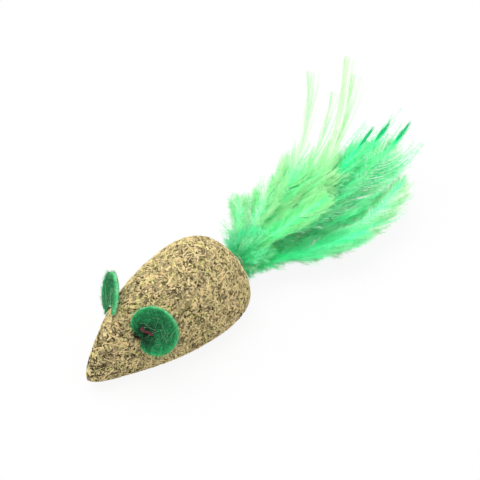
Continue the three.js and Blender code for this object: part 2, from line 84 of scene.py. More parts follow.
# Felt ears.
EAR_RADIUS = 7.7
EAR_THICKNESS = 1.2
EAR_LIFT = 0.8
EAR_STATION = 0.335
EAR_SIDE_ANGLE = np.radians(38)
EAR_GATHER_SHARE = 0.35
EAR_PIVOT_DEPTH = 0.5
EAR_CLEARANCE = 0.45
NECK_DEPTH = 1.4
NECK_REACH = 2.6
NECK_RADIUS = 1.1
NECK_PRESSED_FROM = 1.5
NECK_PRESS_STEP = 0.06
POCKET_RADIUS = 1.8
STITCH_DIAMETER = 0.7
# Reach of the painted shade that darkens the felt round the fold beside an ear's root.
FOLD_SHADE_REACH = 3.9
EARS = {
    "left": {"side": 1, "turn": 26, "tip": 23, "lean": 56, "stand_off": 0.72, "notch": 0.18,
             "cup": 0.24, "fold": 0.9, "gather": 0.53, "draw": 30, "swings": (0,)},
    "right": {"side": -1, "turn": 33, "tip": 18, "lean": -9, "stand_off": 0.815, "notch": 0.0,
              "cup": 0.14, "fold": 0.0, "gather": 0.73, "draw": 18, "swings": (-5, 0, 12, 25)},
}

# Grid of the felt, its rim as shares of the disc's radius, and its colour numbers.
OFFSET_STEPS = 40
FELT_SIDES = 160
FELT_RINGS = 34
RIM_RINGS = 7
FELT_MIDDLE = 0.03
FELT_RIM_START = 0.955
FELT_RIM_WIDTH = 0.045
# Height and size of the lumps on the faces, coarse and fine, and round the rim.
FELT_LUMPS = ((0.075, 1.3), (0.05, 0.5), (0.012, 1.1))
FELT_TONE = 0.33
FELT_ROOT_TONE = 0.3
# Paler rim of the felt: painted highlight where its cut edge catches the light, and the paleness of its
# fuzz.
RIM_HIGHLIGHT_AND_FUZZ = 0.5
BACK_GAIN = 0.15
# How much painted shade darkens the felt in the fold beside its root.
FOLD_SHADE_LOSS = 0.7

# Grid of an ear's neck, and the loose fibres.
NECK_STATIONS = 12
NECK_SIDES = 20
NECK_PRESS_STEPS = 12
NECK_HEAD_SHARE = 0.4
SHEET_SEED = 10
FIBRE_MARGIN = 0.05
FIBRE_LIFT = 0.02


class Fibre(NamedTuple):
    """One kind of loose fibre: the first seed of its random numbers, its least and greatest length, its
    width, the rings along it, how much of its rise it loses by its tip, and the middle and spread of its
    colour number.
    """

    seed: int
    length: tuple
    width: float
    rings: int
    sink: float
    tone: tuple


FIBRES = {
    "nap": Fibre(20, (0.5, 1.6), 0.07, 4, 0.6, (0.5, 0.2)),
    "rim": Fibre(30, (0.3, 1.1), 0.06, 4, 0.6, (0.8, 0.12)),
    "long": Fibre(40, (3, 10), 0.08, 10, 0.9, (1.2, 0.0)),
}

# The left ear's stitch: share of the disc's radius and angle in degrees at three places along it.
STITCH_SHARES = (0.53, 0.48, 0.2)
STITCH_ANGLES = (-133, -108, -44)
STITCH_PITCH = 1.3
STITCH_STATIONS = 60

# Tail.
TAIL_HEIGHT = 10
BORE_MOUTH_RADIUS = 4.6
FAN_START = -34.0
QUILL_DEPTH = 9.0
WHIPPING_START = -30.6
WHIPPING_RADIUS = 3.07
WHIPPING_PITCH = 0.95
WHIPPING_TURNS = 3
WHIPPING_TWIST = 1.1
TURN_STATIONS = 60
THREAD_DIAMETER = 0.5
QUILL_DIAMETER = 0.8
QUILL_TIP_DIAMETER = 0.24
QUILL_SPACING = 1.1
QUILL_ROWS = (2, 3, 2, 3, 2)
ROW_SLANT = 0.26
FEATHER_LENGTH = 70
FEATHER_HALF_WIDTH = 8
VANE_START = 5
VANE_CAMBER = 0.5
LOWEST_PITCH = np.radians(-4)
HIGHEST_PITCH = np.radians(21)
TIP_PITCH_CURL = np.radians(13)
FAN_RAMP = 6
WISP = (0, 0.3, 0.62, 0.86, 0.97, 1, 0.88, 0.66, 0.44, 0.27, 0.17, 0.12, 0.07, 0)
BLADE = (0, 0.3, 0.6, 0.8, 0.9, 0.96, 1, 1, 0.97, 0.92, 0.84, 0.72, 0.5, 0)
SOFT_PLUME = (0, 0.4, 0.75, 0.95, 1, 1, 1, 1, 0.98, 0.95, 0.88, 0.72, 0.34, 0)
DARK_TIPPED = (0, 0.4, 0.75, 0.95, 1, 1, 1, 1, 0.98, 0.92, 0.72, 0.27, 0.1, 0)


class Feather(NamedTuple):
    """One feather: its yaw and the change of that by the tip in degrees, its shares of the full length and
    width, its vane's outline, how dark its tip is, how teal its dye, the share of it that is down, and how
    much paler it is than its neighbours.
    """

    yaw: float
    curl: float
    length_share: float
    breadth: float
    vane: tuple
    dark: float
    teal: float
    downy: float
    paler: float


# From the lowest feather up.
FEATHERS = (
    Feather(25, -14, 0.91, 0.78, SOFT_PLUME, 0.0, 0.0, 1.2, 0.16),
    Feather(7, -2, 1.06, 1.05, DARK_TIPPED, 1.0, 0.0, 1.1, 0.0),
    Feather(31, -4, 0.6, 0.6, BLADE, 0.0, 0.0, 1.2, 0.02),
    Feather(2, 0, 0.97, 0.9, DARK_TIPPED, 1.0, 0.0, 1.1, -0.02),
    Feather(1, 0, 0.89, 0.58, DARK_TIPPED, 1.0, 0.0, 1.1, 0.0),
    Feather(1, -14, 1.01, 0.78, WISP, 0.0, 0.0, 0.6, 0.05),
    Feather(2, -16, 1.03, 0.7, WISP, 0.0, 0.0, 0.6, 0.1),
    Feather(-5, -14, 0.87, 0.85, WISP, 0.0, 0.0, 0.6, -0.1),
    Feather(-9, -18, 0.89, 0.75, WISP, 0.0, 0.0, 0.65, -0.02),
    Feather(-18, -6, 0.51, 0.72, WISP, 0.0, 0.2, 1.2, 0.05),
    Feather(17, 4, 0.44, 0.56, SOFT_PLUME, 0.0, 0.0, 1.3, -0.1),
    Feather(-43, -6, 0.26, 0.46, BLADE, 0.0, 0.4, 1.3, 0.2),
)
MID_FEATHERS = 5
FEATHER_SEED = 40
HEADING_STEP = 0.05

# Shaft of a feather.
SHAFT_STATIONS = 80
SHAFT_SIDES = 8
SHAFT_TAPER = 1.6
SHAFT_POINT = 3
SHAFT_POINT_SHARE = 0.1
SHAFT_THIN_FROM = 2
SHAFT_THINNING = 0.3
SHAFT_TONE = 0.3

# Barbs of a feather: lengths and places along the shaft in millimetres, angles from the shaft in degrees.
BARB_STATIONS = 6
BARE_END = 0.6
CLUMP_LENGTH = 2.2
CLUMP_COUNT = 240
WISP_THINS_OUT = (0.44, 0.66)
WISP_MISSING = 0.55
WISP_LENGTH = 0.9
WISP_SPREAD = 0.8
FOOT_START = 4
FOOT_END = 20
FLUFF_LENGTH = 5.5
FLUFF_SPREAD = 1.2
DARK_LENGTHS = (9, 5.5)
SHORTEST_BARB = 0.35
BARBULE_MARGIN = 0.7
NARROW_REACH = 5
# In a wide vane, how much less in a narrow one, the spreads by clump and by barb, and more at the foot.
OPEN_ANGLES = (56, 38, 6, 8, 8)
END_ANGLES = (22, 14, 7, 12, 20)
RAGGED_END = 0.8
RAGGED_SPREAD = 1.2
SHORTEST_END = 0.6
CURL_WIDTH = 0.4
BARB_LIFT = 0.1
BARB_FLATNESS = 0.16
THINNEST_BARB = 0.012
LOWEST_BARB = 0.6
LOWEST_BARBULE = 0.3
BARBULE_SHARES = (0.4, 1.3)
# Length of a downy barb that carries the set number of barbules.
DOWNY_LENGTH = 7
# Colour numbers of the barbs, and the distances over which the feather's foot and the teal fade.
MIDDLE_TONE = 0.44
# The tip's gain and the foot's depth are partly the dye and partly painted shade at the barbs' roots and
# under the upper feathers.
TIP_GAIN = 0.3
FOOT_DEPTH = 0.36
FOOT_FADE = 20
WISP_GAIN = 0.35
DEEPEST_TONE = 0.15
DARK_TONE = 0.03
TEAL_FADE = 30

# Down round the foot of the tail.
DOWN_SEED = 91
DOWN_COUNT = 1100
DOWN_CLUMPS = 90
DOWN_START = 1.7
DOWN_SPREAD = 7.2
DOWN_LENGTH = 6.4
SHORTEST_DOWN = 3
BUNCH_RADIUS = 2.2
THINNEST_DOWN = 0.015
DOWN_TONE = 0.28

# Stage, in metres.
FLOOR_SIZE = 6
FLOOR_DROP = 0.0001
FLOOR_GREY = 0.72
FLOOR_GLOW = 0.9
KEY_PLACE = (0.06, -0.2, 0.76)
KEY_AIM = (-0.02, 0, 0.01)
KEY_WIDTH = 0.8
CAMERA_PLACE = (0.2610677, 0.2882597, 0.4009087)
CAMERA_AIM = (-0.52476788, -0.512314, -0.67981838)
CAMERA_LENS = 135.036
CAMERA_NEAR = 0.01


def srgb(red, green, blue):
    """Linear colour of a screen colour given in steps of 255."""
    shares = np.array([red, green, blue]) / 255
    linear = np.where(shares <= 0.04045, shares / 12.92, ((shares + 0.055) / 1.055) ** 2.4)
    return tuple(linear.tolist())


# Numbers


def unit(vectors):
    """Vectors brought to length one."""
    return vectors / np.maximum(np.linalg.norm(vectors, axis=-1, keepdims=True), 1e-12)


def smooth(values, low, high):
    """Zero below low, one above high, and 3t^2 - 2t^3 between."""
    share = np.clip((values - low) / (high - low), 0, 1)
    return share * share * (3 - 2 * share)


def through(shares, along):
    """Smooth cubic curve through shares at equal steps, mirrored through zero past both ends."""
    shares = np.array(shares, float)
    last = len(shares) - 1
    padded = np.concatenate([[-shares[1]], shares, [-shares[-2]]])
    place = np.clip(along, 0, 1) * last
    step = np.minimum(place.astype(int), last - 1)
    before, start, end, after = (padded[step + k] for k in range(4))
    share = place - step
    slope_in = (end - before) / 2
    slope_out = (after - start) / 2
    rise = end - start
    squared = 3 * rise - 2 * slope_in - slope_out
    cubed = slope_in + slope_out - 2 * rise
    return start + share * (slope_in + share * (squared + share * cubed))


def wave(places, scale, seed):
    """Smooth lumps, mostly between -1 and 1: 1.6 times the mean of six sine waves in random directions."""
    rng = np.random.default_rng(seed)
    directions = unit(rng.normal(size=(6, 3))) * rng.uniform(0.6, 1.5, (6, 1)) * 2 * np.pi / scale
    phases = rng.uniform(0, 2 * np.pi, 6)
    return np.sin(places @ directions.T + phases).mean(-1) * 1.6


# Meshes


def strands(centres, ups, half_widths, half_heights, sides=3):
    """Closed strands along paths: each path point carries a ring of corners at equal turns of an ellipse
    that stands across the path, quads join ring to ring, and the first and last rings close the ends.
    """
    count, stations = centres.shape[:2]
    paths = unit(np.gradient(centres, axis=1))
    across = unit(np.cross(paths, ups))
    above = np.cross(across, paths)
    turn = np.linspace(0, 2 * np.pi, sides, endpoint=False) + np.pi / 2
    wide = (half_widths[..., None] * np.cos(turn))[..., None]
    high = (half_heights[..., None] * np.sin(turn))[..., None]
    points = centres[:, :, None] + across[:, :, None] * wide + above[:, :, None] * high
    here = np.arange(sides)
    there = (here + 1) % sides
    first = (np.arange(count) * stations * sides)[:, None, None]
    row = (np.arange(stations - 1) * sides)[None, :, None]
    quads = np.stack([first + row + here, first + row + there,
                      first + row + sides + there, first + row + sides + here], -1)
    start = first[:, 0] + here[::-1]
    end = first[:, 0] + (stations - 1) * sides + here
    return points.reshape(-1, 3), [quads.reshape(-1, 4), start, end]


def spikes(roots, directions, lengths, radii):
    """Thin closed spikes: three corners round each root, across its direction, and one at its tip."""
    side = unit(np.cross(directions, np.roll(directions, 1, axis=-1) + 0.3))
    other = np.cross(directions, side)
    turn = np.arange(3) * 2 * np.pi / 3
    ring = side[:, None] * np.cos(turn)[:, None] + other[:, None] * np.sin(turn)[:, None]
    ring = ring * radii[:, None, None]
    points = np.concatenate([roots[:, None] + ring, (roots + directions * lengths[:, None])[:, None]], 1)
    faces = np.array([[0, 1, 3], [1, 2, 3], [2, 0, 3], [2, 1, 0]])
    return points.reshape(-1, 3), [(np.arange(len(roots))[:, None, None] * 4 + faces).reshape(-1, 3)]


def joined(parts):
    """One list of points and polygons from several, each a (points, polygons) pair."""
    points = np.concatenate([part[0] for part in parts])
    offsets = np.cumsum([0] + [len(part[0]) for part in parts])
    polygons = [faces + offset for part, offset in zip(parts, offsets) for faces in part[1]]
    return points, polygons


def enclosed(points, polygons):
    """Six times the volume inside closed polygons, each cut into a fan of triangles from its first corner.
    """
    total = 0.0
    for faces in polygons:
        for k in range(1, faces.shape[1] - 1):
            a, b, c = points[faces[:, 0]], points[faces[:, k]], points[faces[:, k + 1]]
            total += np.einsum("ij,ij->", a, np.cross(b, c))
    return total


def piece(name, points, polygons, values=None, rounded=False):
    """Mesh object of closed polygons, turned so that they face out, with a number on each point for its
    colour.
    """
    if not np.isfinite(points).all():
        raise RuntimeError(f"{name} has a point that isn't a number")
    if enclosed(points, polygons) < 0:
        polygons = [faces[:, ::-1] for faces in polygons]
    mesh = bpy.data.meshes.new(name)
    corners = np.concatenate([faces.ravel() for faces in polygons]).astype(np.int32)
    counts = np.concatenate([np.full(len(faces), faces.shape[1]) for faces in polygons])
    starts = (np.cumsum(counts) - counts).astype(np.int32)
    mesh.vertices.add(len(points))
    mesh.vertices.foreach_set("co", (points * MM).astype(np.float32).ravel())
    mesh.loops.add(len(corners))
    mesh.loops.foreach_set("vertex_index", corners)
    mesh.polygons.add(len(counts))
    mesh.polygons.foreach_set("loop_start", starts)
    mesh.polygons.foreach_set("use_smooth", np.full(len(counts), rounded))
    mesh.update(calc_edges=True)
    for key, numbers in (values or {}).items():
        layer = mesh.attributes.new(key, "FLOAT", "POINT")
        layer.data.foreach_set("value", np.asarray(numbers, np.float32))
    thing = bpy.data.objects.new(name, mesh)
    bpy.context.scene.collection.objects.link(thing)
    return thing


def fit_out(thing, material, body, slot, *replaced):
    """Gives a piece its material and the CAD body that it moves with, and hides the nodes that it stands
    for.
    """
    thing.data.materials.append(material)
    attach(thing, body)
    if replaced:
        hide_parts(*replaced)
    return thing


# Finishes


def finish(name, roughness, sheen=0.0):
    """Principled material with its node tree, ready for a colour."""
    material = bpy.data.materials.new(name)
    material.use_nodes = True
    shader = material.node_tree.nodes["Principled BSDF"]
    shader.inputs["Roughness"].default_value = roughness
    shader.inputs["Specular IOR Level"].default_value = 0.25
    shader.inputs["Sheen Weight"].default_value = sheen
    return material, material.node_tree, shader


def noise(tree, scale, detail=3.0):
    """Noise over the object's own coordinates, with its scale in lumps to the metre."""
    place = tree.nodes.new("ShaderNodeTexCoord")
    texture = tree.nodes.new("ShaderNodeTexNoise")
    texture.inputs["Scale"].default_value = scale
    texture.inputs["Detail"].default_value = detail
    tree.links.new(place.outputs["Object"], texture.inputs["Vector"])
    return texture.outputs["Fac"]


def number(tree, name):
    """The number of that name that the mesh carries on its points."""
    node = tree.nodes.new("ShaderNodeAttribute")
    node.attribute_name = name
    return node.outputs["Fac"]


def mixed(tree, first, second, weight):
    """First plus weight times (second - 0.5)."""
    scaled = tree.nodes.new("ShaderNodeMath")
    scaled.operation = "MULTIPLY_ADD"
    scaled.inputs[1].default_value = weight
    scaled.inputs[2].default_value = -weight / 2
    total = tree.nodes.new("ShaderNodeMath")
    tree.links.new(second, scaled.inputs[0])
    tree.links.new(first, total.inputs[0])
    tree.links.new(scaled.outputs[0], total.inputs[1])
    return total.outputs[0]


def ramp(tree, factor, stops):
    """Colour by a number, through stops of (place, linear colour)."""
    node = tree.nodes.new("ShaderNodeValToRGB")
    elements = node.color_ramp.elements
    while len(elements) < len(stops):
        elements.new(0.5)
    for element, (place, colour) in zip(elements, stops):
        element.position = place
        element.color = (*colour, 1)
    tree.links.new(factor, node.inputs["Fac"])
    return node.outputs["Color"]


def grained(name, roughness, sheen, scale, detail, stops):
    """Finish whose colour goes through stops by noise alone."""
    material, tree, shader = finish(name, roughness, sheen)
    tree.links.new(ramp(tree, noise(tree, scale, detail), stops), shader.inputs["Base Color"])
    return material


def multiplied(tree, colour):
    """Multiplies a colour by a tint: the product, and the inputs for how much of it and for the tint."""
    blend = tree.nodes.new("ShaderNodeMix")
    blend.data_type = "RGBA"
    blend.blend_type = "MULTIPLY"
    tree.links.new(colour, blend.inputs[6])
    return blend.outputs[2], blend.inputs["Factor"], blend.inputs[7]


def bumped(tree, shader, height, strength, distance):
    """Raises the shading by a height, over a distance in metres."""
    node = tree.nodes.new("ShaderNodeBump")
    node.inputs["Strength"].default_value = strength
    node.inputs["Distance"].default_value = distance
    tree.links.new(height, node.inputs["Height"])
    tree.links.new(node.outputs["Normal"], shader.inputs["Normal"])


def refinished(name, material):
    """Gives a CAD solid that stays in the scene a new material."""
    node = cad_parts[name]
    node.data.materials.clear()
    node.data.materials.append(material)


# Body


def body_sections(along):
    """Seam height, half width, back and belly heights of the body at a share of its length from the nose.
    """
    turn = np.arccos(np.clip(1 - 2 * along, -1, 1)) / np.pi
    seam = NOSE_SEAM_HEIGHT + (REAR_SEAM_HEIGHT - NOSE_SEAM_HEIGHT) * along
    width = BODY_HALF_WIDTH * through(WIDTH_SHARES, turn)
    back = BACK_HEIGHT * through(BACK_SHARES, turn)
    roundness = np.sqrt(np.maximum(4 * along * (1 - along), 0))
    belly = BELLY_SINK_SHARE * seam * np.minimum(1, BELLY_FULLNESS_SHARE * roundness)
    return seam, width, back, belly


def body_point(turn, side):
    """The body's surface: half ellipses above and below the seam, at a turn of the half circle from nose to
    rear and at a side angle round from the mouse's left.
    """
    along = (1 - np.cos(np.pi * turn)) / 2
    seam, width, back, belly = body_sections(along)
    rise = np.sin(side)
    height = seam + np.where(rise > 0, back, belly) * rise
    return np.stack([BODY_LENGTH / 2 - BODY_LENGTH * along, width * np.cos(side), height], -1)


def body_slopes(turn, side, step=1e-3):
    """The surface's change with the turn and with the side angle."""
    by_turn = (body_point(turn + step, side) - body_point(turn - step, side)) / (2 * step)
    by_side = (body_point(turn, side + step) - body_point(turn, side - step)) / (2 * step)
    return by_turn, by_side


def body_share(points, margin=0.0):
    """How far out points are, as a share of the ellipse of their section grown by a margin: 1 is on the
    skin.
    """
    along = np.clip(0.5 - points[..., 0] / BODY_LENGTH, 1e-4, 1 - 1e-4)
    seam, width, back, belly = body_sections(along)
    rise = points[..., 2] - seam
    high = np.where(rise > 0, back, belly) + margin
    return np.hypot(points[..., 1] / np.maximum(width + margin, 0.1), rise / np.maximum(high, 0.1))


def skin_places(rng, count):
    """Random places on the body, even by area: point, outward direction and two directions across it."""
    turn = rng.uniform(*SKIN_TURNS, count * SKIN_TRIES)
    side = rng.uniform(0, 2 * np.pi, count * SKIN_TRIES)
    by_turn, by_side = body_slopes(turn, side)
    area = np.linalg.norm(np.cross(by_turn, by_side), axis=-1)
    keep = rng.uniform(0, 1, len(area)) < area / area.max()
    by_turn, by_side = by_turn[keep], by_side[keep]
    point = body_point(turn[keep], side[keep])
    outward = unit(np.cross(by_turn, by_side))
    flat = point[:, 2] < 0
    point[flat, 2] = 0
    outward[flat] = (0, 0, -1)
    first = unit(by_side - outward * np.einsum("ij,ij->i", by_side, outward)[:, None])
    second = np.cross(outward, first)
    return point[:count], outward[:count], first[:count], second[:count]


def settled(points, outward):
    """Points moved along the outward direction onto the body, by two steps of Newton's rule on the share of
    the section's ellipse that each one stands at.
    """
    for _ in range(2):
        here = body_share(points)
        slope = np.maximum((body_share(points + outward * SETTLING_STEP) - here) / SETTLING_STEP, 0.02)
        points = points - outward * np.clip((here - 1) / slope, -SETTLING_REACH, SETTLING_REACH)[..., None]
    return points


class Herb(NamedTuple):
    """One kind of herb piece: its name, the seed of its random numbers, how many are tried, its least and
    greatest length, width and thickness, the corners round it, how far it stands proud, and the spread of
    its tilt.
    """

    name: str
    seed: int
    count: int
    length: tuple
    width: tuple
    thickness: tuple
    sides: int
    proud: tuple
    tilt: float


def herb_kinds(settings):
    """The three kinds of herb piece, with the stems as long and wide as the settings say."""
    tried, long, wide = settings.flake_count, settings.stem_length / MM, settings.stem_width / MM
    return (
        Herb("stems", 5, tried // 4, (1.4, long), (wide * 0.5, wide), (0.18, 0.34), 3, (0.04, 0.2), 0.03),
        Herb("leaf_crumbs", 6, tried, (0.8, 2.2), (0.4, 0.9), (0.2, 0.4), 4, (-0.14, 0.12), 0.12),
        Herb("splinters", 7, tried, (0.6, 1.9), (0.18, 0.4), (0.14, 0.28), 3, (0.0, 0.18), 0.1),
    )


def in_opening(corners):
    """Which pieces have a corner in the tail hole or in an ear's pocket, or past either end of the body."""
    level = np.hypot(corners[..., 1], corners[..., 2] - TAIL_HEIGHT)
    inside = ((corners[..., 0] < REAR_FROM) & (level < BORE_MOUTH_RADIUS + HERB_MARGIN)).any(1)
    inside |= (np.abs(corners[..., 0]) > BODY_LENGTH / 2 + HERB_MARGIN).any(1)
    for ear in EARS.values():
        root, out = ear_seat(ear)[:2]
        away = corners - root
        depth = away @ out
        off_axis = np.linalg.norm(away - depth[..., None] * out, axis=-1)
        inside |= ((off_axis < POCKET_RADIUS + POCKET_MARGIN) & (np.abs(depth) < POCKET_REACH)).any(1)
    return inside


def herb_tone(rng, corners, raised):
    """Colour numbers of pieces of herb: one for the tone, which spreads more towards the nose and is a
    little darker there as painted shade, and is paler the higher a piece stands as painted light on the
    proud pieces and painted shade on the sunk ones, and one for the hue.
    """
    ahead = smooth(corners[..., 0].mean(1), *NOSE_LENGTHS)
    spread = rng.normal(0, HERB_TONE_SPREAD, len(corners)) * (1 + 0.3 * ahead)
    # Painted shade: a little darker towards the nose. Painted light: paler the prouder a piece stands.
    tone = HERB_TONE + spread - 0.06 * ahead + HERB_PAINTED_LIGHT_RISE * raised.mean(1)
    return np.clip(tone, 0, 1), rng.uniform(0, 1, len(corners))


def flakes(kind):
    """Flat pieces of dried herb on the body: each a short strand of three rings that is settled on the body
    along its own direction, raised a little, tilted and rolled. Those in the tail hole or an ear's pocket
    are left out.
    """
    rng = np.random.default_rng(kind.seed)
    point, outward, first, second = skin_places(rng, kind.count)
    total = len(point)
    angle = rng.uniform(0, 2 * np.pi, total)
    run = first * np.cos(angle)[:, None] + second * np.sin(angle)[:, None]
    reach = kind.length[0] + (kind.length[1] - kind.length[0]) * rng.uniform(0, 1, total) ** 2
    place = np.array([-0.5, 0, 0.5]) * reach[:, None]
    centres = point[:, None] + run[:, None] * place[..., None]
    facing = np.repeat(outward[:, None], 3, 1)
    belly = outward[:, 2] < -0.999
    centres[~belly] = settled(centres[~belly], facing[~belly])
    raised = rng.uniform(*kind.proud, total)[:, None] + rng.normal(0, kind.tilt, total)[:, None] * place
    on_skin = (np.abs(body_share(centres) - 1) < WELL_SETTLED).all(1) | belly
    centres += facing * raised[..., None]
    roll = rng.normal(0, HERB_ROLL, total)
    ups = outward * np.cos(roll)[:, None] + np.cross(run, outward) * np.sin(roll)[:, None]
    ups = np.repeat(ups[:, None], 3, 1)
    half = rng.uniform(*kind.width, total)[:, None] / 2 * rng.uniform(*HERB_BREADTHS, (total, 3))
    high = np.repeat(rng.uniform(*kind.thickness, total)[:, None] / 2, 3, 1)
    corners = strands(centres, ups, half, high, kind.sides)[0].reshape(total, 3 * kind.sides, 3)
    corners[..., 2] = np.maximum(corners[..., 2], -BELLY_PROUD)
    kept = on_skin & ~in_opening(corners)
    polygons = strands(centres[kept], ups[kept], half[kept], high[kept], kind.sides)[1]
    tone, hue = herb_tone(rng, corners[kept], raised[kept])
    values = {"tone": np.repeat(tone, 3 * kind.sides), "hue": np.repeat(hue, 3 * kind.sides)}
    return corners[kept].reshape(-1, 3), polygons, values


# Ears


def ear_seat(ear):
    """Where an ear sits: its root on the body, the way out of its pocket, the three directions of its own
    frame (across, up, face) as columns, and the frame's origin.
    """
    side = ear["side"]
    side_angle = EAR_SIDE_ANGLE if side > 0 else np.pi - EAR_SIDE_ANGLE
    root = body_point(np.array(EAR_STATION), np.array(side_angle))
    by_turn, by_side = body_slopes(np.array(EAR_STATION), np.array(side_angle))
    out = unit(np.cross(by_turn, by_side))
    turn, tip, lean = np.radians([ear["turn"], ear["tip"], ear["lean"]])
    face = np.array([np.cos(turn) * np.cos(tip), side * np.sin(turn) * np.cos(tip), np.sin(tip)])
    sideways = np.array([-np.sin(turn), side * np.cos(turn), 0])
    up = np.cross(face, sideways) * side * np.cos(lean) + sideways * np.sin(lean)
    return root, out, np.stack([np.cross(up, face), up, face], 1), root - out * EAR_PIVOT_DEPTH


def felt_point(ear, share, angle, offset):
    """A dish in the ear's own frame: a disc that is drawn in towards its root, cupped by the square of the
    share of its radius, and folded forwards beside its root.
    """
    from_root = np.abs((angle - np.pi / 2) % (2 * np.pi) - np.pi)
    drawn = (1 - ear["stand_off"] + ear["notch"]) * np.exp(-((from_root / np.radians(ear["draw"])) ** 2))
    reach = EAR_RADIUS * (1 - drawn) * share
    across = reach * np.cos(angle)
    up = EAR_RADIUS * ear["stand_off"] + reach * np.sin(angle)
    gather = np.exp(-((np.hypot(across, up) / EAR_RADIUS / ear["gather"]) ** 2))
    cup = EAR_RADIUS * ear["cup"] * share**2 * (1 - gather)
    fold = ear["fold"] * np.abs(across) * gather
    return np.stack([across * (1 - EAR_GATHER_SHARE * gather), up, cup + fold + offset], -1)


def ear_place(ear, points):
    """Points of an ear's own frame in the mouse's frame."""
    out, frame_axes, origin = ear_seat(ear)[1:]
    return origin + points @ frame_axes.T + out * (EAR_PIVOT_DEPTH + EAR_LIFT)


def painted_fold_shade(ear, points):
    """Painted shade of an ear's fold: how deep in the shade of its fold a point of an ear's own frame is,
    the fold's depth at the root, and less round it by a bell curve.
    """
    return ear["fold"] * np.exp(-((np.linalg.norm(points, axis=-1) / FOLD_SHADE_REACH) ** 2))


def meets_body(ear, points, margin):
    """Where points of an ear's own frame come within a margin of the body, as the ear stands in its pocket
    and turned about its hinge by each of its swings.
    """
    out, frame_axes, origin = ear_seat(ear)[1:]
    across, up, face = np.moveaxis(points + out @ frame_axes * (EAR_PIVOT_DEPTH + EAR_LIFT), -1, 0)
    met = np.zeros(across.shape, bool)
    for swing in np.radians(ear["swings"]):
        raised = up * np.cos(swing) - face * np.sin(swing)
        forward = up * np.sin(swing) + face * np.cos(swing)
        met |= body_share(origin + np.stack([across, raised, forward], -1) @ frame_axes.T, margin) <= 1
    return met


def clear_offset(ear, share, angle):
    """Least offset across the felt's thickness, at shares and angles of the disc, from which all up to its
    front face is clear of the body. It is over half the thickness where the front face itself is blocked.
    """
    half = EAR_THICKNESS / 2
    offsets = np.linspace(half, -half, OFFSET_STEPS + 1)
    grid = felt_point(ear, *np.broadcast_arrays(share[..., None], angle[..., None], offsets))
    blocked = meets_body(ear, grid, EAR_CLEARANCE)
    first = np.where(blocked.any(-1), blocked.argmax(-1), len(offsets))
    return np.append(offsets, -half)[first] + np.where(first < len(offsets), EAR_THICKNESS / OFFSET_STEPS, 0)


def felt_trim(ear, angle):
    """The greatest share of the disc's radius, at each angle, at which the front face is clear of the body.
    """
    share = np.linspace(0.3, 1, 80)
    lowest = clear_offset(ear, *np.meshgrid(share, angle, indexing="ij"))
    return np.where(lowest < EAR_THICKNESS / 2 - 0.1, 1.0, share[:, None]).min(0)


def sheet_polygons(count, sides):
    """Polygons of a closed sheet: quads between rings of corners, and a fan from a middle point at each
    end.
    """
    here = np.arange(sides)
    there = (here + 1) % sides
    row = (np.arange(count - 1) * sides)[:, None]
    quads = np.stack([row + here, row + there, row + sides + there, row + sides + here], -1).reshape(-1, 4)
    last = count * sides
    start = np.stack([np.full(sides, last), there, here], -1)
    end = np.stack([np.full(sides, last + 1), last - sides + here, last - sides + there], -1)
    return [quads, start, end]


def felt_sheet(ear, seed):
    """The felt as a closed sheet on a grid of angles and rings: the back from its middle out, round the rim
    by a half ellipse, and the front back in, with small lumps along its thickness and the back kept off the
    body.
    """
    angle = np.linspace(0, 2 * np.pi, FELT_SIDES, endpoint=False)
    half = EAR_THICKNESS / 2
    inner = np.linspace(FELT_MIDDLE, FELT_RIM_START, FELT_RINGS)
    bend = np.linspace(-np.pi / 2, np.pi / 2, RIM_RINGS + 2)[1:-1]
    share = np.concatenate([inner, FELT_RIM_START + FELT_RIM_WIDTH * np.cos(bend), inner[::-1]])
    offset = np.concatenate([np.full(FELT_RINGS, -half), half * np.sin(bend), np.full(FELT_RINGS, half)])
    places = share[:, None] * felt_trim(ear, angle)
    rough = felt_point(ear, places, angle[None], offset[:, None])
    coarse, fine, edge = (high * wave(rough, size, seed + k) for k, (high, size) in enumerate(FELT_LUMPS))
    lowest = clear_offset(ear, places, np.broadcast_to(angle, places.shape))
    raised = np.maximum(offset[:, None] + (coarse + fine), np.minimum(lowest, half - 0.08))
    points = felt_point(ear, places * (1 + edge), angle[None], raised)
    middles = felt_point(ear, np.zeros(2), np.zeros(2), np.array([-half, half]))
    grid = ear_place(ear, np.concatenate([points.reshape(-1, 3), middles]))
    # Paler to the rim: painted highlight on the cut edge, and the felt's pale fuzz there.
    bright = (FELT_TONE + RIM_HIGHLIGHT_AND_FUZZ * share**9 + BACK_GAIN * (offset < 0))[:, None]
    # Painted shade: the felt is darkened round the root, where its fold lies.
    bright = bright - FOLD_SHADE_LOSS * painted_fold_shade(ear, points)
    bright = np.concatenate([bright.ravel(), np.full(2, FELT_ROOT_TONE)])
    return grid, sheet_polygons(len(share), FELT_SIDES), bright


def neck_tube(ear):
    """The drawn-in neck of an ear: a round tube along a quadratic curve from its pocket into the felt.
    Outside the pocket its back is pressed forwards, by small steps, as far as the body needs.
    """
    out, frame_axes, origin = ear_seat(ear)[1:]
    bend = origin + out * (EAR_PIVOT_DEPTH + EAR_LIFT)
    head = bend + frame_axes[:, 1] * NECK_REACH
    foot = origin + out * (EAR_PIVOT_DEPTH - NECK_DEPTH)
    share = np.linspace(0, 1, NECK_STATIONS)[:, None]
    path = foot * (1 - share) ** 2 + 2 * bend * share * (1 - share) + head * share**2
    radius = NECK_RADIUS + (NECK_HEAD_SHARE * EAR_THICKNESS - NECK_RADIUS) * share[:, 0]
    ups = np.repeat(frame_axes[None, None, :, 2], NECK_STATIONS, 1)
    points, polygons = strands(path[None], ups, radius[None], radius[None], NECK_SIDES)
    own = (points - origin) @ frame_axes - out @ frame_axes * (EAR_PIVOT_DEPTH + EAR_LIFT)
    for _ in range(NECK_PRESS_STEPS):
        low = meets_body(ear, own, EAR_CLEARANCE) & (own[:, 1] > NECK_PRESSED_FROM)
        own[low, 2] += NECK_PRESS_STEP
    return ear_place(ear, own), polygons


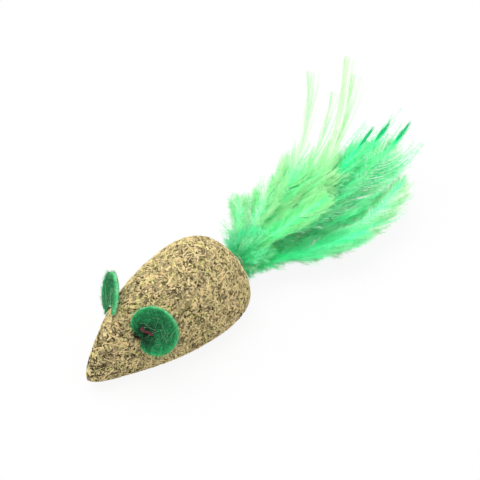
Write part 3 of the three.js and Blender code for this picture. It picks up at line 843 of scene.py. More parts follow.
def fibre_places(ear, rng, count, kind):
    """Where fibres start: share and angle of the disc, face (1 in front, -1 behind) and offset across the
    felt.
    """
    angle = rng.uniform(0, 2 * np.pi, count)
    share = rng.uniform(0.9, 1.0, count) if kind == "rim" else np.sqrt(rng.uniform(0.02, 1, count))
    rounds = np.linspace(0, 2 * np.pi, 181)
    share = share * np.interp(angle, rounds, felt_trim(ear, rounds))
    face = np.ones(count) if kind == "long" else rng.choice([-1.0, 1.0], count)
    return share, angle, face, np.maximum(face * EAR_THICKNESS / 2, clear_offset(ear, share, angle))


def fibre_ways(ear, rng, places, kind, step=0.02):
    """Each fibre's start and its directions: along it, beside it and off the felt. It heads outwards on the
    rim, back over the face if it is long, and any way in the nap.
    """
    share, angle, face, offset = places
    start = felt_point(ear, share, angle, offset)
    round_it = unit(felt_point(ear, share, angle + step, offset) - start)
    outwards = unit(start - felt_point(ear, share - step, angle, offset))
    normal = unit(np.cross(outwards, round_it))
    normal *= (np.sign(normal[:, 2]) * face)[:, None]
    heading = rng.normal(0, 0.7, len(start)) if kind == "rim" else rng.uniform(0, 2 * np.pi, len(start))
    if kind == "long":
        heading = np.pi + rng.normal(0, 0.9, len(start))
    run = outwards * np.cos(heading)[:, None] + round_it * np.sin(heading)[:, None]
    return start, run, np.cross(normal, run), normal


def fibre_paths(rng, ways, kind):
    """Paths of fibres: straight along their way, bent aside by a square and a wave of the share along them,
    and raised off the felt at first and less towards the tip.
    """
    start, run, beside, normal = ways
    each = (len(start), 1, 1)
    step = np.linspace(0, 1, FIBRES[kind].rings)[None, :, None]
    reach = rng.uniform(*FIBRES[kind].length, len(start))[:, None, None]
    bend = rng.normal(0, 0.3, each) * step**2
    bend = bend + rng.normal(0, 0.07, each) * np.sin(step * 6 + rng.uniform(0, 6, each))
    # All three are drawn for each kind, so that what is drawn after them stays the same.
    steep = {
        "nap": rng.uniform(0, 0.28, len(start)),
        "rim": rng.normal(0, 0.5, len(start)),
        "long": rng.uniform(0.1, 0.3, len(start)),
    }
    rise = steep[kind][:, None, None] * step * (1 - FIBRES[kind].sink * step)
    path = start[:, None] + run[:, None] * reach * step + beside[:, None] * reach * bend
    return path + normal[:, None] * (FIBRE_LIFT + reach * rise)


def felt_fibres(ear, order, count, kind):
    """Loose fibres of the felt. Those of the nap lie on either face, those of the rim stand out past it,
    and the long ones lie across a face in a loose bow. Each is a strand whose way turns by smooth waves.
    """
    form = FIBRES[kind]
    rng = np.random.default_rng(form.seed + order)
    places = fibre_places(ear, rng, count, kind)
    ways = fibre_ways(ear, rng, places, kind)
    path = fibre_paths(rng, ways, kind)
    clear = ~meets_body(ear, path, EAR_CLEARANCE + FIBRE_MARGIN).any(-1)
    radius = form.width / 2 * (1 - 0.7 * np.linspace(0, 1, form.rings) ** 3) * np.ones((count, 1))
    ups = np.repeat((ways[3] @ ear_seat(ear)[2].T)[:, None], form.rings, 1)
    # The nap near the rim is paler too: painted highlight and pale fuzz.
    bright = rng.normal(*form.tone, count) + 0.3 * places[0] ** 8 * (kind == "nap")
    # Painted shade of the fold on the nap and rim fibres, not on the long ones.
    bright = np.clip(bright - 0.8 * painted_fold_shade(ear, ways[0]) * (kind != "long"), 0, 1.2)[clear]
    strand = strands(ear_place(ear, path[clear]), ups[clear], radius[clear], radius[clear])
    return *strand, np.repeat(bright, form.rings * 3)


# Threads


def plied(path, ups, diameter, pitch, sides=8):
    """Two strands twisted round a path: each a round tube of half the thread's width, a quarter of it off
    the path, going round once in each pitch.
    """
    length = np.concatenate([[0], np.cumsum(np.linalg.norm(np.diff(path, axis=0), axis=1))])
    runs = unit(np.gradient(path, axis=0))
    across = unit(np.cross(runs, ups))
    above = np.cross(across, runs)
    turn = (2 * np.pi * length / pitch)[None, :, None] + np.array([0, np.pi])[:, None, None]
    centres = path + (across * np.cos(turn) + above * np.sin(turn)) * diameter * 0.25
    radius = np.full(centres.shape[:2], diameter * 0.27)
    return strands(centres, np.repeat(ups[None], 2, 0), radius, radius, sides)


def stitch_path(ear):
    """The seen run of a stitch: a quadratic curve in share and angle through three places on the felt's
    face, with both ends going down into it.
    """
    along = np.linspace(0, 1, STITCH_STATIONS)
    weights = np.stack([(1 - along) * (1 - 2 * along), 4 * along * (1 - along), along * (2 * along - 1)])
    share, angle = np.array([STITCH_SHARES, np.radians(STITCH_ANGLES)]) @ weights
    ends = np.clip(np.minimum(along, 1 - along) / 0.16, 0, 1)
    above = EAR_THICKNESS / 2 - 0.2 + (STITCH_DIAMETER / 2 + 0.4) * np.sin(ends * np.pi / 2)
    points = felt_point(ear, share, angle, above)
    return ear_place(ear, points), np.repeat(ear_seat(ear)[2][None, :, 2], STITCH_STATIONS, 0)


def whipping_path():
    """A helix round the bunch of quills, with its pitch along the tail's axis."""
    share = np.linspace(0, 1, WHIPPING_TURNS * TURN_STATIONS)
    turn = share * WHIPPING_TURNS * 2 * np.pi
    out = WHIPPING_START - share * WHIPPING_TURNS * WHIPPING_PITCH
    round_it = np.stack([np.zeros_like(turn), np.cos(turn), np.sin(turn)], 1)
    return np.stack([out, 0 * out, 0 * out + TAIL_HEIGHT], 1) + round_it * WHIPPING_RADIUS, round_it


# Feathers


def quill_places():
    """Places of the quills in the bunch, across and up from its middle, row by row from the lowest."""
    places = []
    for row, count in enumerate(QUILL_ROWS):
        for column in range(count):
            off = column - (count - 1) / 2
            rise = (row - (len(QUILL_ROWS) - 1) / 2) * np.sqrt(0.75) + off * ROW_SLANT
            places.append((-off * QUILL_SPACING, rise * QUILL_SPACING))
    return places


def on_sheet(index, level, lift=0.0):
    """Points of the level plane raised to a feather's sheet: height = quill height + distance from the
    fan's middle times the tangent of a pitch that grows with the square of the distance, plus a lift.
    """
    distance = np.hypot(level[..., 0] - FAN_START, level[..., 1])
    distance = np.where(level[..., 0] > FAN_START, 0, distance)
    pitch = LOWEST_PITCH + (HIGHEST_PITCH - LOWEST_PITCH) * index / (len(FEATHERS) - 1)
    rise = smooth(distance, 0, FAN_RAMP) * (pitch + TIP_PITCH_CURL * (distance / FEATHER_LENGTH) ** 2)
    height = TAIL_HEIGHT + quill_places()[index][1] + distance * np.tan(rise) + lift
    return np.concatenate([level, height[..., None]], -1)


def shaft_level(index, distance):
    """A feather's shaft from above: place and heading at a distance from the whipping. The swing to one
    side grows from nothing over the fan's first millimetres and then with the square of the distance.
    """
    yaw, curl = np.radians([FEATHERS[index].yaw, FEATHERS[index].curl])

    def place(far):
        reach = np.maximum(far, 0)
        swing = smooth(reach, 0, FAN_RAMP) * (yaw + curl * (reach / FEATHER_LENGTH) ** 2)
        out = reach * np.cos(swing) + far - reach
        return np.stack([FAN_START - out, quill_places()[index][0] + reach * np.sin(swing)], -1)

    ahead = unit(place(distance + HEADING_STEP) - place(distance - HEADING_STEP))
    return place(distance), ahead


def shaft_tube(index, length):
    """A feather's shaft: a round tube along its sheet, which tapers from the quill's width to the tip's and
    comes to a point. Returns the distances along it, its radius at each and the tube.
    """
    far = np.linspace(-QUILL_DEPTH, length, SHAFT_STATIONS)
    path = on_sheet(index, shaft_level(index, far)[0])
    taper = np.clip(far * SHAFT_TAPER / length, 0, 1)
    radius = QUILL_DIAMETER + (QUILL_TIP_DIAMETER - QUILL_DIAMETER) * taper
    sharp = np.clip((length - far) / SHAFT_POINT, SHAFT_POINT_SHARE, 1)
    point = np.where(far > length - SHAFT_POINT, sharp, 1)
    radius = radius * point * (1 - SHAFT_THINNING * (far > SHAFT_THIN_FROM)) / 2
    upward = np.tile([0.0, 0.0, 1.0], (SHAFT_STATIONS, 1))
    return far, radius, strands(path[None], upward[None], radius[None], radius[None], SHAFT_SIDES)


def arcs(open_angle, end_angle, steps):
    """Distances across and ahead along arcs of length one whose heading turns evenly from one angle to
    another.
    """
    along = np.linspace(0, 1, steps)
    angle = open_angle[:, None] + (end_angle - open_angle)[:, None] * along
    middle = (angle[:, 1:] + angle[:, :-1]) / 2
    nothing = np.zeros((len(open_angle), 1))
    across = np.concatenate([nothing, np.cumsum(np.sin(middle), 1)], 1) / (steps - 1)
    ahead = np.concatenate([nothing, np.cumsum(np.cos(middle), 1)], 1) / (steps - 1)
    return across, ahead, along


def barb_roots(rng, shape, length, spacing):
    """The barbs of a feather by their roots, in pairs along the shaft. Each has its distance, side and
    share of the vane, how thinned out, downy, dark and near the foot it is, how far ahead of it the middle
    of its clump lies, and the random numbers that its clump shares.
    """
    roots = np.repeat(np.arange(BARE_END, length - BARE_END, spacing), 2)
    side = np.tile([1.0, -1.0], len(roots) // 2)
    roots = roots + rng.uniform(-0.5, 0.5, len(roots)) * spacing
    share = np.clip((roots - VANE_START) / (length - VANE_START), 0, 1)
    thin = smooth(share, *WISP_THINS_OUT) * (shape.vane is WISP)
    keep = rng.uniform(0, 1, len(roots)) > WISP_MISSING * thin
    roots, side, share, thin = roots[keep], side[keep], share[keep], thin[keep]
    lock = roots / CLUMP_LENGTH + 0.4 * np.sin(roots * 0.9 + side)
    clump = np.floor(lock).astype(int) + CLUMP_COUNT // 4 * (side > 0)
    foot_end = FOOT_END * min(1, shape.length_share + 0.2)
    return SimpleNamespace(
        count=len(roots), roots=roots, side=side, share=share, thin=thin,
        clump=rng.normal(0, 1, (5, CLUMP_COUNT))[:, clump % CLUMP_COUNT],
        middle=(np.floor(lock) + 0.5 - lock) * CLUMP_LENGTH,
        down=1 - smooth(roots, length * shape.downy * 0.45, length * shape.downy),
        shade=shape.dark * smooth(roots, length - DARK_LENGTHS[0], length - DARK_LENGTHS[1]),
        foot=1 - smooth(roots, FOOT_START, foot_end))


def barb_reach(rng, shape, barbs):
    """How far barbs reach from the shaft: the vane's outline, or the down's length at the foot, or little
    where a wisp is thinned out. Clumps and single barbs are longer or shorter at random. Where a barb is
    neither thinned out nor dark, it is shorter by what its barbules fill.
    """
    wide = FEATHER_HALF_WIDTH * shape.breadth * through(shape.vane, barbs.share)
    fluff = np.abs(FLUFF_LENGTH + FLUFF_SPREAD * barbs.clump[3]) * min(1, 0.25 + shape.breadth * 0.75)
    fluff = fluff * smooth(barbs.roots + FOOT_START, 0, FOOT_START)
    reach = np.maximum(wide, SHORTEST_BARB) * (1 - barbs.foot) + np.maximum(wide, fluff) * barbs.foot
    sparse = np.abs(WISP_LENGTH + WISP_SPREAD * barbs.clump[3])
    reach = reach + barbs.thin * (sparse - reach) * (1 - smooth(barbs.share, 0.85, 1) * 0.6)
    reach = reach * (1 + 0.08 * barbs.clump[0] + rng.normal(0, 0.06 + 0.06 * barbs.down, barbs.count))
    reach = reach - BARBULE_MARGIN * (1 - barbs.thin) * (1 - barbs.shade)
    return np.maximum(reach, SHORTEST_BARB)


def barb_heading(rng, figures, barbs, narrow):
    """A barb's angle from the shaft: less in a narrow vane, more at the foot, and spread at random by
    clumps and single barbs, twice as much in the down.
    """
    wide, less, by_clump, by_barb, more = figures
    spread = by_clump * barbs.clump[1] + rng.normal(0, by_barb, barbs.count)
    return np.radians(wide - less * narrow + (0.5 + 0.5 * barbs.down) * spread + more * barbs.foot)


def barb_arcs(rng, barbs, reach, length):
    """Barbs beside their shaft: distances across it and ahead, along arcs that bend forwards and end within
    the feather's length. Their tips draw to the middle of their clump, and the down curls by sine waves.
    """
    narrow = 1 - np.clip(reach / NARROW_REACH, 0, 1)
    open_angle = barb_heading(rng, OPEN_ANGLES, barbs, narrow) * (1 - 0.62 * barbs.thin)
    end_angle = barb_heading(rng, END_ANGLES, barbs, narrow) * (1 - 0.8 * barbs.thin)
    run, go, along = arcs(open_angle, end_angle, BARB_STATIONS)
    ragged = rng.normal(0, RAGGED_SPREAD, barbs.count) * barbs.down
    room = np.maximum(length - barbs.roots + RAGGED_END + ragged, SHORTEST_END)
    size = np.minimum(reach / np.maximum(run[:, -1], 0.02), room / np.maximum(go[:, -1], 0.05))
    run, go = run * size[:, None], go * size[:, None]
    go = go + barbs.middle[:, None] * 0.2 * along**2
    curl = np.sin(along * rng.uniform(2, 6, (barbs.count, 1)) + rng.uniform(0, 6, (barbs.count, 1))) * along
    go = go + (rng.normal(0, CURL_WIDTH, barbs.count) * barbs.down)[:, None] * curl
    return run, go, along, size


def barb_paths(rng, index, barbs, run, go, along, radius):
    """Paths of barbs on a feather's sheet and the way up that each lies: they leave the shaft's top, follow
    the vane's camber, which falls with the square of the distance from the shaft, and rise with their
    clump.
    """
    place, ahead = shaft_level(index, barbs.roots)
    across = np.stack([-ahead[:, 1], ahead[:, 0]], -1)
    beside = across[:, None] * (run * barbs.side[:, None])[..., None]
    level = place[:, None] + beside + ahead[:, None] * go[..., None]
    rise = barbs.clump[2] * (0.05 + 0.13 * barbs.down) + rng.normal(0, 0.02, barbs.count)
    rise = rise + rng.normal(0, 0.1, barbs.count) * barbs.down
    over = BARB_LIFT + radius[:, None] * (1 - along)
    camber = VANE_CAMBER * (run / FEATHER_HALF_WIDTH) ** 2
    centres = on_sheet(index, level, over - camber + (rise + 0.14 * barbs.foot)[:, None] * run * along)
    centres[..., 2] = np.maximum(centres[..., 2], LOWEST_BARB)
    roll = rng.normal(0, 0.12, barbs.count)[:, None, None]
    forward = np.concatenate([ahead, np.zeros((barbs.count, 1))], 1)[:, None]
    return centres, np.broadcast_to(np.array([0, 0, 1.0]) + forward * (roll - 0.25), centres.shape)


def barb_tone(rng, shape, barbs, along):
    """Colour numbers of barbs: deeper near the feather's foot and paler to a barb's tip, partly the dye and
    partly painted shade where barbs lie under each other, paler where a wisp is thinned out, a little
    different in each clump and barb, and dark where the tip is.
    """
    depth = FOOT_DEPTH * np.exp(-barbs.roots / FOOT_FADE)
    tone = MIDDLE_TONE + TIP_GAIN * along[None] - depth[:, None] + 0.1 * barbs.clump[4][:, None]
    tone = tone + rng.normal(0, 0.05, barbs.count)[:, None] + shape.paler
    tone = np.maximum(tone + WISP_GAIN * barbs.thin[:, None] ** 2, DEEPEST_TONE)
    return tone * (1 - barbs.shade[:, None]) + DARK_TONE * barbs.shade[:, None]


def with_barbules(rng, settings, parts, tones, centres, tone, owner, share, lean):
    """Strands joined with fine spikes along barbs. Each spike starts between two stations of its barb and
    heads forwards and to a random side, flattened by lean where the barb lies in a closed vane. Tones are
    those of the parts' points, and tone that of each station of each barb. Returns points, polygons and
    colour numbers.
    """
    total = len(owner)
    long = rng.uniform(*BARBULE_SHARES, total) * settings.barbule_length / MM * share
    spot = np.clip(rng.uniform(0, 1, total) ** 0.7, 0.06, 0.995) * (BARB_STATIONS - 1)
    step = spot.astype(int)
    part = (spot - step)[:, None]
    foot = centres[owner, step] * (1 - part) + centres[owner, step + 1] * part
    heading = unit(centres[owner, step + 1] - centres[owner, step])
    side = rng.normal(0, 1, (total, 3)) * np.stack([np.ones(total), np.ones(total), lean], 1)
    aim = unit(heading * rng.uniform(0.3, 1.4, total)[:, None] + unit(side))
    fine = spikes(foot, aim, long, np.full(total, settings.barbule_width / MM / 2))
    paler = tone[owner, step] + 0.08 * rng.uniform(0, 1, total)
    points, polygons = joined([*parts, fine])
    points[:, 2] = np.maximum(points[:, 2], LOWEST_BARBULE)
    return points, polygons, np.clip(np.concatenate([*tones, np.repeat(paler, 4)]), 0, 1)


def feather(index, settings):
    """One feather: a tapered shaft on the feather's sheet, barbs that leave it at an angle and bend
    forwards, in clumps that rise and fall together, and barbules along them. Returns points, polygons and
    colour numbers.
    """
    shape = FEATHERS[index]
    length = FEATHER_LENGTH * shape.length_share
    rng = np.random.default_rng(FEATHER_SEED + index)
    far, shaft_radius, shaft = shaft_tube(index, length)
    barbs = barb_roots(rng, shape, length, settings.barb_spacing / MM)
    reach = barb_reach(rng, shape, barbs)
    run, go, along, size = barb_arcs(rng, barbs, reach, length)
    radius = np.interp(barbs.roots, far, shaft_radius)
    centres, ups = barb_paths(rng, index, barbs, run, go, along, radius)
    flat = settings.barb_width / MM / 2 * (1 - 0.4 * barbs.down - 0.5 * barbs.thin)[:, None]
    flat = flat * (1.02 - 0.85 * along**2)
    vane = strands(centres, ups, flat, np.maximum(flat * BARB_FLATNESS, THINNEST_BARB))
    tone = barb_tone(rng, shape, barbs, along)
    tones = [np.full(SHAFT_STATIONS * SHAFT_SIDES, SHAFT_TONE), np.repeat(tone.ravel(), 3)]
    dense = settings.barbules * (0.6 + 0.4 * barbs.down) * (1 - 0.8 * barbs.thin) * (1 - barbs.shade)
    owner = np.repeat(np.arange(barbs.count), rng.poisson(np.maximum(dense * size / DOWNY_LENGTH, 0)))
    downy = barbs.down[owner]
    points, polygons, tones = with_barbules(
        rng, settings, [shaft, vane], tones, centres, tone, owner, 0.6 + 0.4 * downy, 0.2 + 0.35 * downy)
    tint = np.full(len(points), shape.teal) * np.exp(-np.maximum(FAN_START - points[:, 0], 0) / TEAL_FADE)
    return points, polygons, {"tone": tones, "teal": tint}


def root_down(settings):
    """Down round the foot of the tail: barbs from the bunch of quills, out in all directions and bent to
    the tips, covered with barbules.
    """
    rng = np.random.default_rng(DOWN_SEED)
    share = rng.uniform(0, 1, DOWN_COUNT)
    start = FAN_START + DOWN_START - DOWN_SPREAD * share
    turn = rng.uniform(0, 2 * np.pi, DOWN_COUNT)
    place = (np.floor(turn * 5) + 38 * np.floor(share * 2.4)).astype(int)
    clump = rng.normal(0, 1, (3, DOWN_CLUMPS))[:, place % DOWN_CLUMPS]
    radial = np.stack([0 * start, np.cos(turn), np.sin(turn)], -1)
    back = np.array([-1.0, 0, 0])
    open_angle = np.radians(78 - 28 * share + 6 * clump[0] + rng.normal(0, 6, DOWN_COUNT))
    end_angle = np.radians(62 - 34 * share + 12 * clump[1] + rng.normal(0, 12, DOWN_COUNT))
    long = DOWN_LENGTH + 1.2 * clump[2] + rng.normal(0, 0.8, DOWN_COUNT)
    long = np.maximum(long, SHORTEST_DOWN) * (0.72 + 0.28 * np.sin(turn))
    out, away, along = arcs(open_angle, end_angle, BARB_STATIONS)
    out, away = out * long[:, None], away * long[:, None]
    away = away + 0.5 * np.sin(along * 5 + rng.uniform(0, 6, (DOWN_COUNT, 1))) * along
    bunch = np.stack([start, 0 * start, 0 * start + TAIL_HEIGHT], -1) + radial * BUNCH_RADIUS
    centres = bunch[:, None] + radial[:, None] * out[..., None] + back * away[..., None]
    centres[..., 2] = np.maximum(centres[..., 2], LOWEST_BARB)
    flat = settings.barb_width / MM / 2 * 0.5 * (1.05 - 0.8 * along) * np.ones((DOWN_COUNT, 1))
    ups = np.broadcast_to(back, centres.shape)
    strand = strands(centres, ups, flat, np.maximum(flat * 0.5, THINNEST_DOWN))
    # Deeper at each barb's root and paler to its tip: partly the dye, partly painted shade.
    tone = DOWN_TONE + TIP_GAIN * along[None] + 0.08 * clump[0][:, None]
    tone = tone + rng.normal(0, 0.05, (DOWN_COUNT, 1))
    owner = np.repeat(np.arange(DOWN_COUNT), rng.poisson(settings.barbules * 0.9, DOWN_COUNT))
    everywhere = np.ones(len(owner))
    points, polygons, tones = with_barbules(
        rng, settings, [strand], [np.repeat(tone.ravel(), 3)], centres, tone, owner, everywhere, everywhere)
    right = np.clip(-points[:, 1] / 6 + (points[:, 2] - TAIL_HEIGHT) / 12, 0, 1)
    return points, polygons, {"tone": tones, "teal": right * 0.4}


# Settings


def length_setting(name, description, default, least, most):
    """Setting for a length in metres."""
    return bpy.props.FloatProperty(
        name=name, description=description, default=default, min=least, max=most, unit="LENGTH", precision=5)


def colour_setting(name, description, *screen):
    """Setting for a colour, whose default is a screen colour in steps of 255."""
    return bpy.props.FloatVectorProperty(
        name=name, description=description, subtype="COLOR", size=3, default=srgb(*screen), min=0, max=1)


class HerbSettings(bpy.types.PropertyGroup):
    """Pressed herb of the body."""

    stem_length: length_setting("Stem length", "Length of the longest piece of stem", 0.0058, 0.002, 0.01)
    stem_width: length_setting("Stem width", "Width of the widest piece of stem", 0.0006, 0.0001, 0.001)
    flake_count: bpy.props.IntProperty(
        name="Pieces", description="Pieces of herb of one kind that are tried on the skin",
        default=9600, min=100, max=14000)
    straw: colour_setting("Straw", "Colour of the palest stems", 234, 219, 177)
    # The gap colour is both the darkest herb's colour and the painted shade deep between the pieces.
    gap: colour_setting("Gaps", "Colour deep between the stems", 84, 67, 34)


class FeltSettings(bpy.types.PropertyGroup):
    """Felt ears and the stitch in the left one."""

    # The dark felt colour, and a third of it, also carry the painted shade in the fold.
    dark: colour_setting("Felt, dark", "Colour in the felt's hollows", 8, 66, 36)
    light: colour_setting("Felt, light", "Colour of the felt's loose fibres", 50, 186, 110)
    hair: colour_setting("Felt, palest", "Colour of the few long pale fibres", 150, 205, 158)
    thread: colour_setting("Stitch", "Colour of the stitch", 112, 42, 46)
    fibres: bpy.props.IntProperty(
        name="Fibres", description="Loose fibres on each ear", default=2600, min=100, max=8000)
    long_fibres: bpy.props.IntProperty(
        name="Long fibres", description="Long pale fibres on the left ear; the right has half as many",
        default=22, min=2, max=60)


class FeatherSettings(bpy.types.PropertyGroup):
    """Feathers of the tail."""

    barb_spacing: length_setting(
        "Barb spacing", "Distance between barbs on one side of a shaft", 0.00017, 0.0001, 0.002)
    barb_width: length_setting("Barb width", "Width of a barb at its root", 0.00026, 0.00005, 0.001)
    barbules: bpy.props.FloatProperty(
        name="Barbules", description="Barbules on a downy barb", default=31, min=0, max=80)
    barbule_length: length_setting(
        "Barbule length", "Length of a barbule of the down", 0.0015, 0.0002, 0.004)
    barbule_width: length_setting(
        "Barbule width", "Width of a barbule at its root", 0.000075, 0.00001, 0.0002)
    # Deep green is the dye at the foot, and also the painted shade where feathers lie over each other.
    deep: colour_setting("Deep green", "Dye at the foot of the feathers", 40, 254, 158)
    middle: colour_setting("Green", "Dye of the lower feathers", 118, 255, 188)
    pale: colour_setting("Pale green", "Dye of the upper feathers", 216, 255, 204)


class StageSettings(bpy.types.PropertyGroup):
    """Floor, light and camera."""

    light: bpy.props.FloatProperty(
        name="Key light", description="Power of the large soft light",
        default=4.7, min=0, max=20, unit="POWER")
    sky: bpy.props.FloatProperty(
        name="Room light", description="Strength of the even white light", default=0.85, min=0, max=2)


# Operators


class CATNIP_OT_herb(bpy.types.Operator):
    """Press stems, leaf crumbs and splinters of dried herb onto the body"""

    bl_idname = "catnip.herb"
    bl_label = "Pressed herb"

    def execute(self, context):
        settings = context.scene.catnip_herb
        gap, straw = np.array(settings.gap), np.array(settings.straw)
        refinished("catnip_body", self.ground(gap, straw))
        material = self.herb(gap, straw)
        for kind in herb_kinds(settings):
            fit_out(piece(kind.name, *flakes(kind)), material, "mouse", "pressed_catnip")
        return {"FINISHED"}

    def herb(self, gap, straw):
        """Herb finish: a ramp from gap to straw over the pieces' tones, multiplied by a tint over their
        hues.
        """
        material, tree, shader = finish("pressed herb", 0.9)
        tone = mixed(tree, number(tree, "tone"), noise(tree, 2600, 4), 0.2)
        # The lowest stops are the darkest herb, and the painted shade of sunk pieces.
        colour = ramp(tree, tone, [
            (0.0, gap * 0.45), (0.26, gap * 0.5 + straw * 0.15), (0.6, straw * 0.58), (0.9, straw)])
        tint = ramp(tree, number(tree, "hue"), [
            (0.0, srgb(236, 250, 190)), (0.2, srgb(250, 248, 226)), (0.85, srgb(255, 246, 232)),
            (1.0, srgb(255, 234, 214))])
        product, share, second = multiplied(tree, colour)
        share.default_value = 1.0
        tree.links.new(tint, second)
        tree.links.new(product, shader.inputs["Base Color"])
        bumped(tree, shader, noise(tree, 4200, 2), 0.3, 0.00008)
        return material

    def ground(self, gap, straw):
        """Finish of the body under its herb: a ramp from near the gap colour to three quarters of straw over
        coarse and fine noise, dark as the herb's darker crumbs and as painted shade between the pieces.
        """
        material, tree, shader = finish("herb between the stems", 0.95)
        lumps = noise(tree, 1500, 5)
        tone = mixed(tree, noise(tree, 380, 3), lumps, 1.6)
        colour = ramp(tree, tone, [(0.2, gap * 0.7), (0.55, gap * 0.7 + straw * 0.25), (0.9, straw * 0.75)])
        tree.links.new(colour, shader.inputs["Base Color"])
        bumped(tree, shader, lumps, 0.8, 0.0003)
        return material


class CATNIP_OT_ears(bpy.types.Operator):
    """Shape the two felt ears with their loose fibres"""

    bl_idname = "catnip.ears"
    bl_label = "Felt ears"

    def execute(self, context):
        settings = context.scene.catnip_felt
        material = self.felt(settings)
        for order, (name, ear) in enumerate(EARS.items()):
            body = f"ear_on_{name}"
            points, polygons, bright = felt_sheet(ear, SHEET_SEED + order)
            points, polygons = joined([(points, polygons), neck_tube(ear)])
            bright = np.concatenate([bright, np.full(len(points) - len(bright), FELT_ROOT_TONE)])
            felt = piece(f"{name}_felt_ear", points, polygons, {"tone": bright}, rounded=True)
            fit_out(felt, material, body, "green_felt", f"{name}_ear")
            lying = felt_fibres(ear, order, settings.fibres, "nap")
            edging = felt_fibres(ear, order, settings.fibres // 6, "rim")
            tone = np.concatenate([lying[2], edging[2]])
            nap = piece(f"{name}_felt_nap", *joined([lying, edging]), {"tone": tone}, rounded=True)
            fit_out(nap, material, body, "green_felt")
            points, polygons, tone = felt_fibres(ear, order, settings.long_fibres // (1 + order), "long")
            stray = piece(f"{name}_felt_strays", points, polygons, {"tone": tone}, rounded=True)
            fit_out(stray, material, body, "green_felt")
        return {"FINISHED"}

    def felt(self, settings):
        """Felt finish: a ramp from dark to pale green over the fibres' tones and two sizes of noise."""
        material, tree, shader = finish("green felt", 0.95, 0.1)
        tone = mixed(tree, number(tree, "tone"), noise(tree, 1700, 5), 0.9)
        tone = mixed(tree, tone, noise(tree, 320, 2), 0.35)
        dark = np.array(settings.dark)
        # The stop under the dark felt colour is for the painted shade in the fold.
        colour = ramp(tree, tone, [
            (0.0, dark * 0.3), (0.16, dark), (0.8, settings.light), (1.0, settings.hair)])
        tree.links.new(colour, shader.inputs["Base Color"])
        bumped(tree, shader, noise(tree, 3600, 3), 0.5, 0.0001)
        return material


class CATNIP_OT_threads(bpy.types.Operator):
    """Twist the left ear's stitch and the whipping round the quills, and finish the glue"""

    bl_idname = "catnip.threads"
    bl_label = "Threads and glue"

    def execute(self, context):
        thread = np.array(context.scene.catnip_felt.thread)
        red = grained("red thread", 0.9, 0.3, 5200, 3, [(0.25, thread * 0.6), (0.75, thread * 1.3)])
        points, polygons = plied(*stitch_path(EARS["left"]), STITCH_DIAMETER, STITCH_PITCH)
        stitch = piece("left_stitch_thread", points, polygons, rounded=True)
        fit_out(stitch, red, "ear_on_left", "red_thread", "left_ear_stitch")
        white = grained("whipping thread", 0.85, 0.2, 5200, 3, [
            (0.2, srgb(190, 184, 168)), (0.8, srgb(228, 224, 212))])
        points, polygons = plied(*whipping_path(), THREAD_DIAMETER, WHIPPING_TWIST)
        whipping = piece("whipping_thread", points, polygons, rounded=True)
        fit_out(whipping, white, "tail", "whipping_thread", "quill_whipping")
        glue = grained("dried glue", 0.35, 0.0, 700, 2, [
            (0.3, srgb(206, 192, 150)), (0.7, srgb(226, 214, 178))])
        for name in ("left_ear_glue", "right_ear_glue", "tail_glue_collar"):
            refinished(name, glue)
        return {"FINISHED"}


class CATNIP_OT_feathers(bpy.types.Operator):
    """Grow the dyed feathers and the down at their foot"""

    bl_idname = "catnip.feathers"
    bl_label = "Feather tail"

    def execute(self, context):
        settings = context.scene.catnip_feathers
        deep, middle, pale = (np.array(getattr(settings, key)) for key in ("deep", "middle", "pale"))
        lower = self.dye("mid green feather", [
            (0.0, deep * 0.3), (0.14, deep), (0.5, middle), (0.95, pale * 0.9)])
        yellower = np.array([1.06, 0.98, 0.86])
        upper = self.dye("pale green feather", [
            (0.0, deep), (0.22, middle * yellower), (0.6, (pale + middle) / 2 * yellower), (0.95, pale)])
        for index in range(len(FEATHERS)):
            name = f"feather_{index + 1:02d}"
            thing = piece(name.replace("feather", "feather_plume"), *feather(index, settings))
            slot = "mid_green_feather" if index < MID_FEATHERS else "pale_green_feather"
            fit_out(thing, lower if index < MID_FEATHERS else upper, "tail", slot, name)
        fit_out(piece("tail_down", *root_down(settings)), lower, "tail", "mid_green_feather")
        return {"FINISHED"}

    def dye(self, name, stops):
        """Feather finish: the dye's ramp over the barbs' numbers, turned towards teal where they say so."""
        material, tree, shader = finish(name, 0.85, 0.4)
        shader.inputs["Specular IOR Level"].default_value = 0.1
        shader.inputs["Sheen Tint"].default_value = (0.3, 1.0, 0.5, 1)
        product, share, teal = multiplied(tree, ramp(tree, number(tree, "tone"), stops))
        tree.links.new(number(tree, "teal"), share)
        teal.default_value = (*srgb(190, 236, 255), 1)
        tree.links.new(product, shader.inputs["Base Color"])
        return material


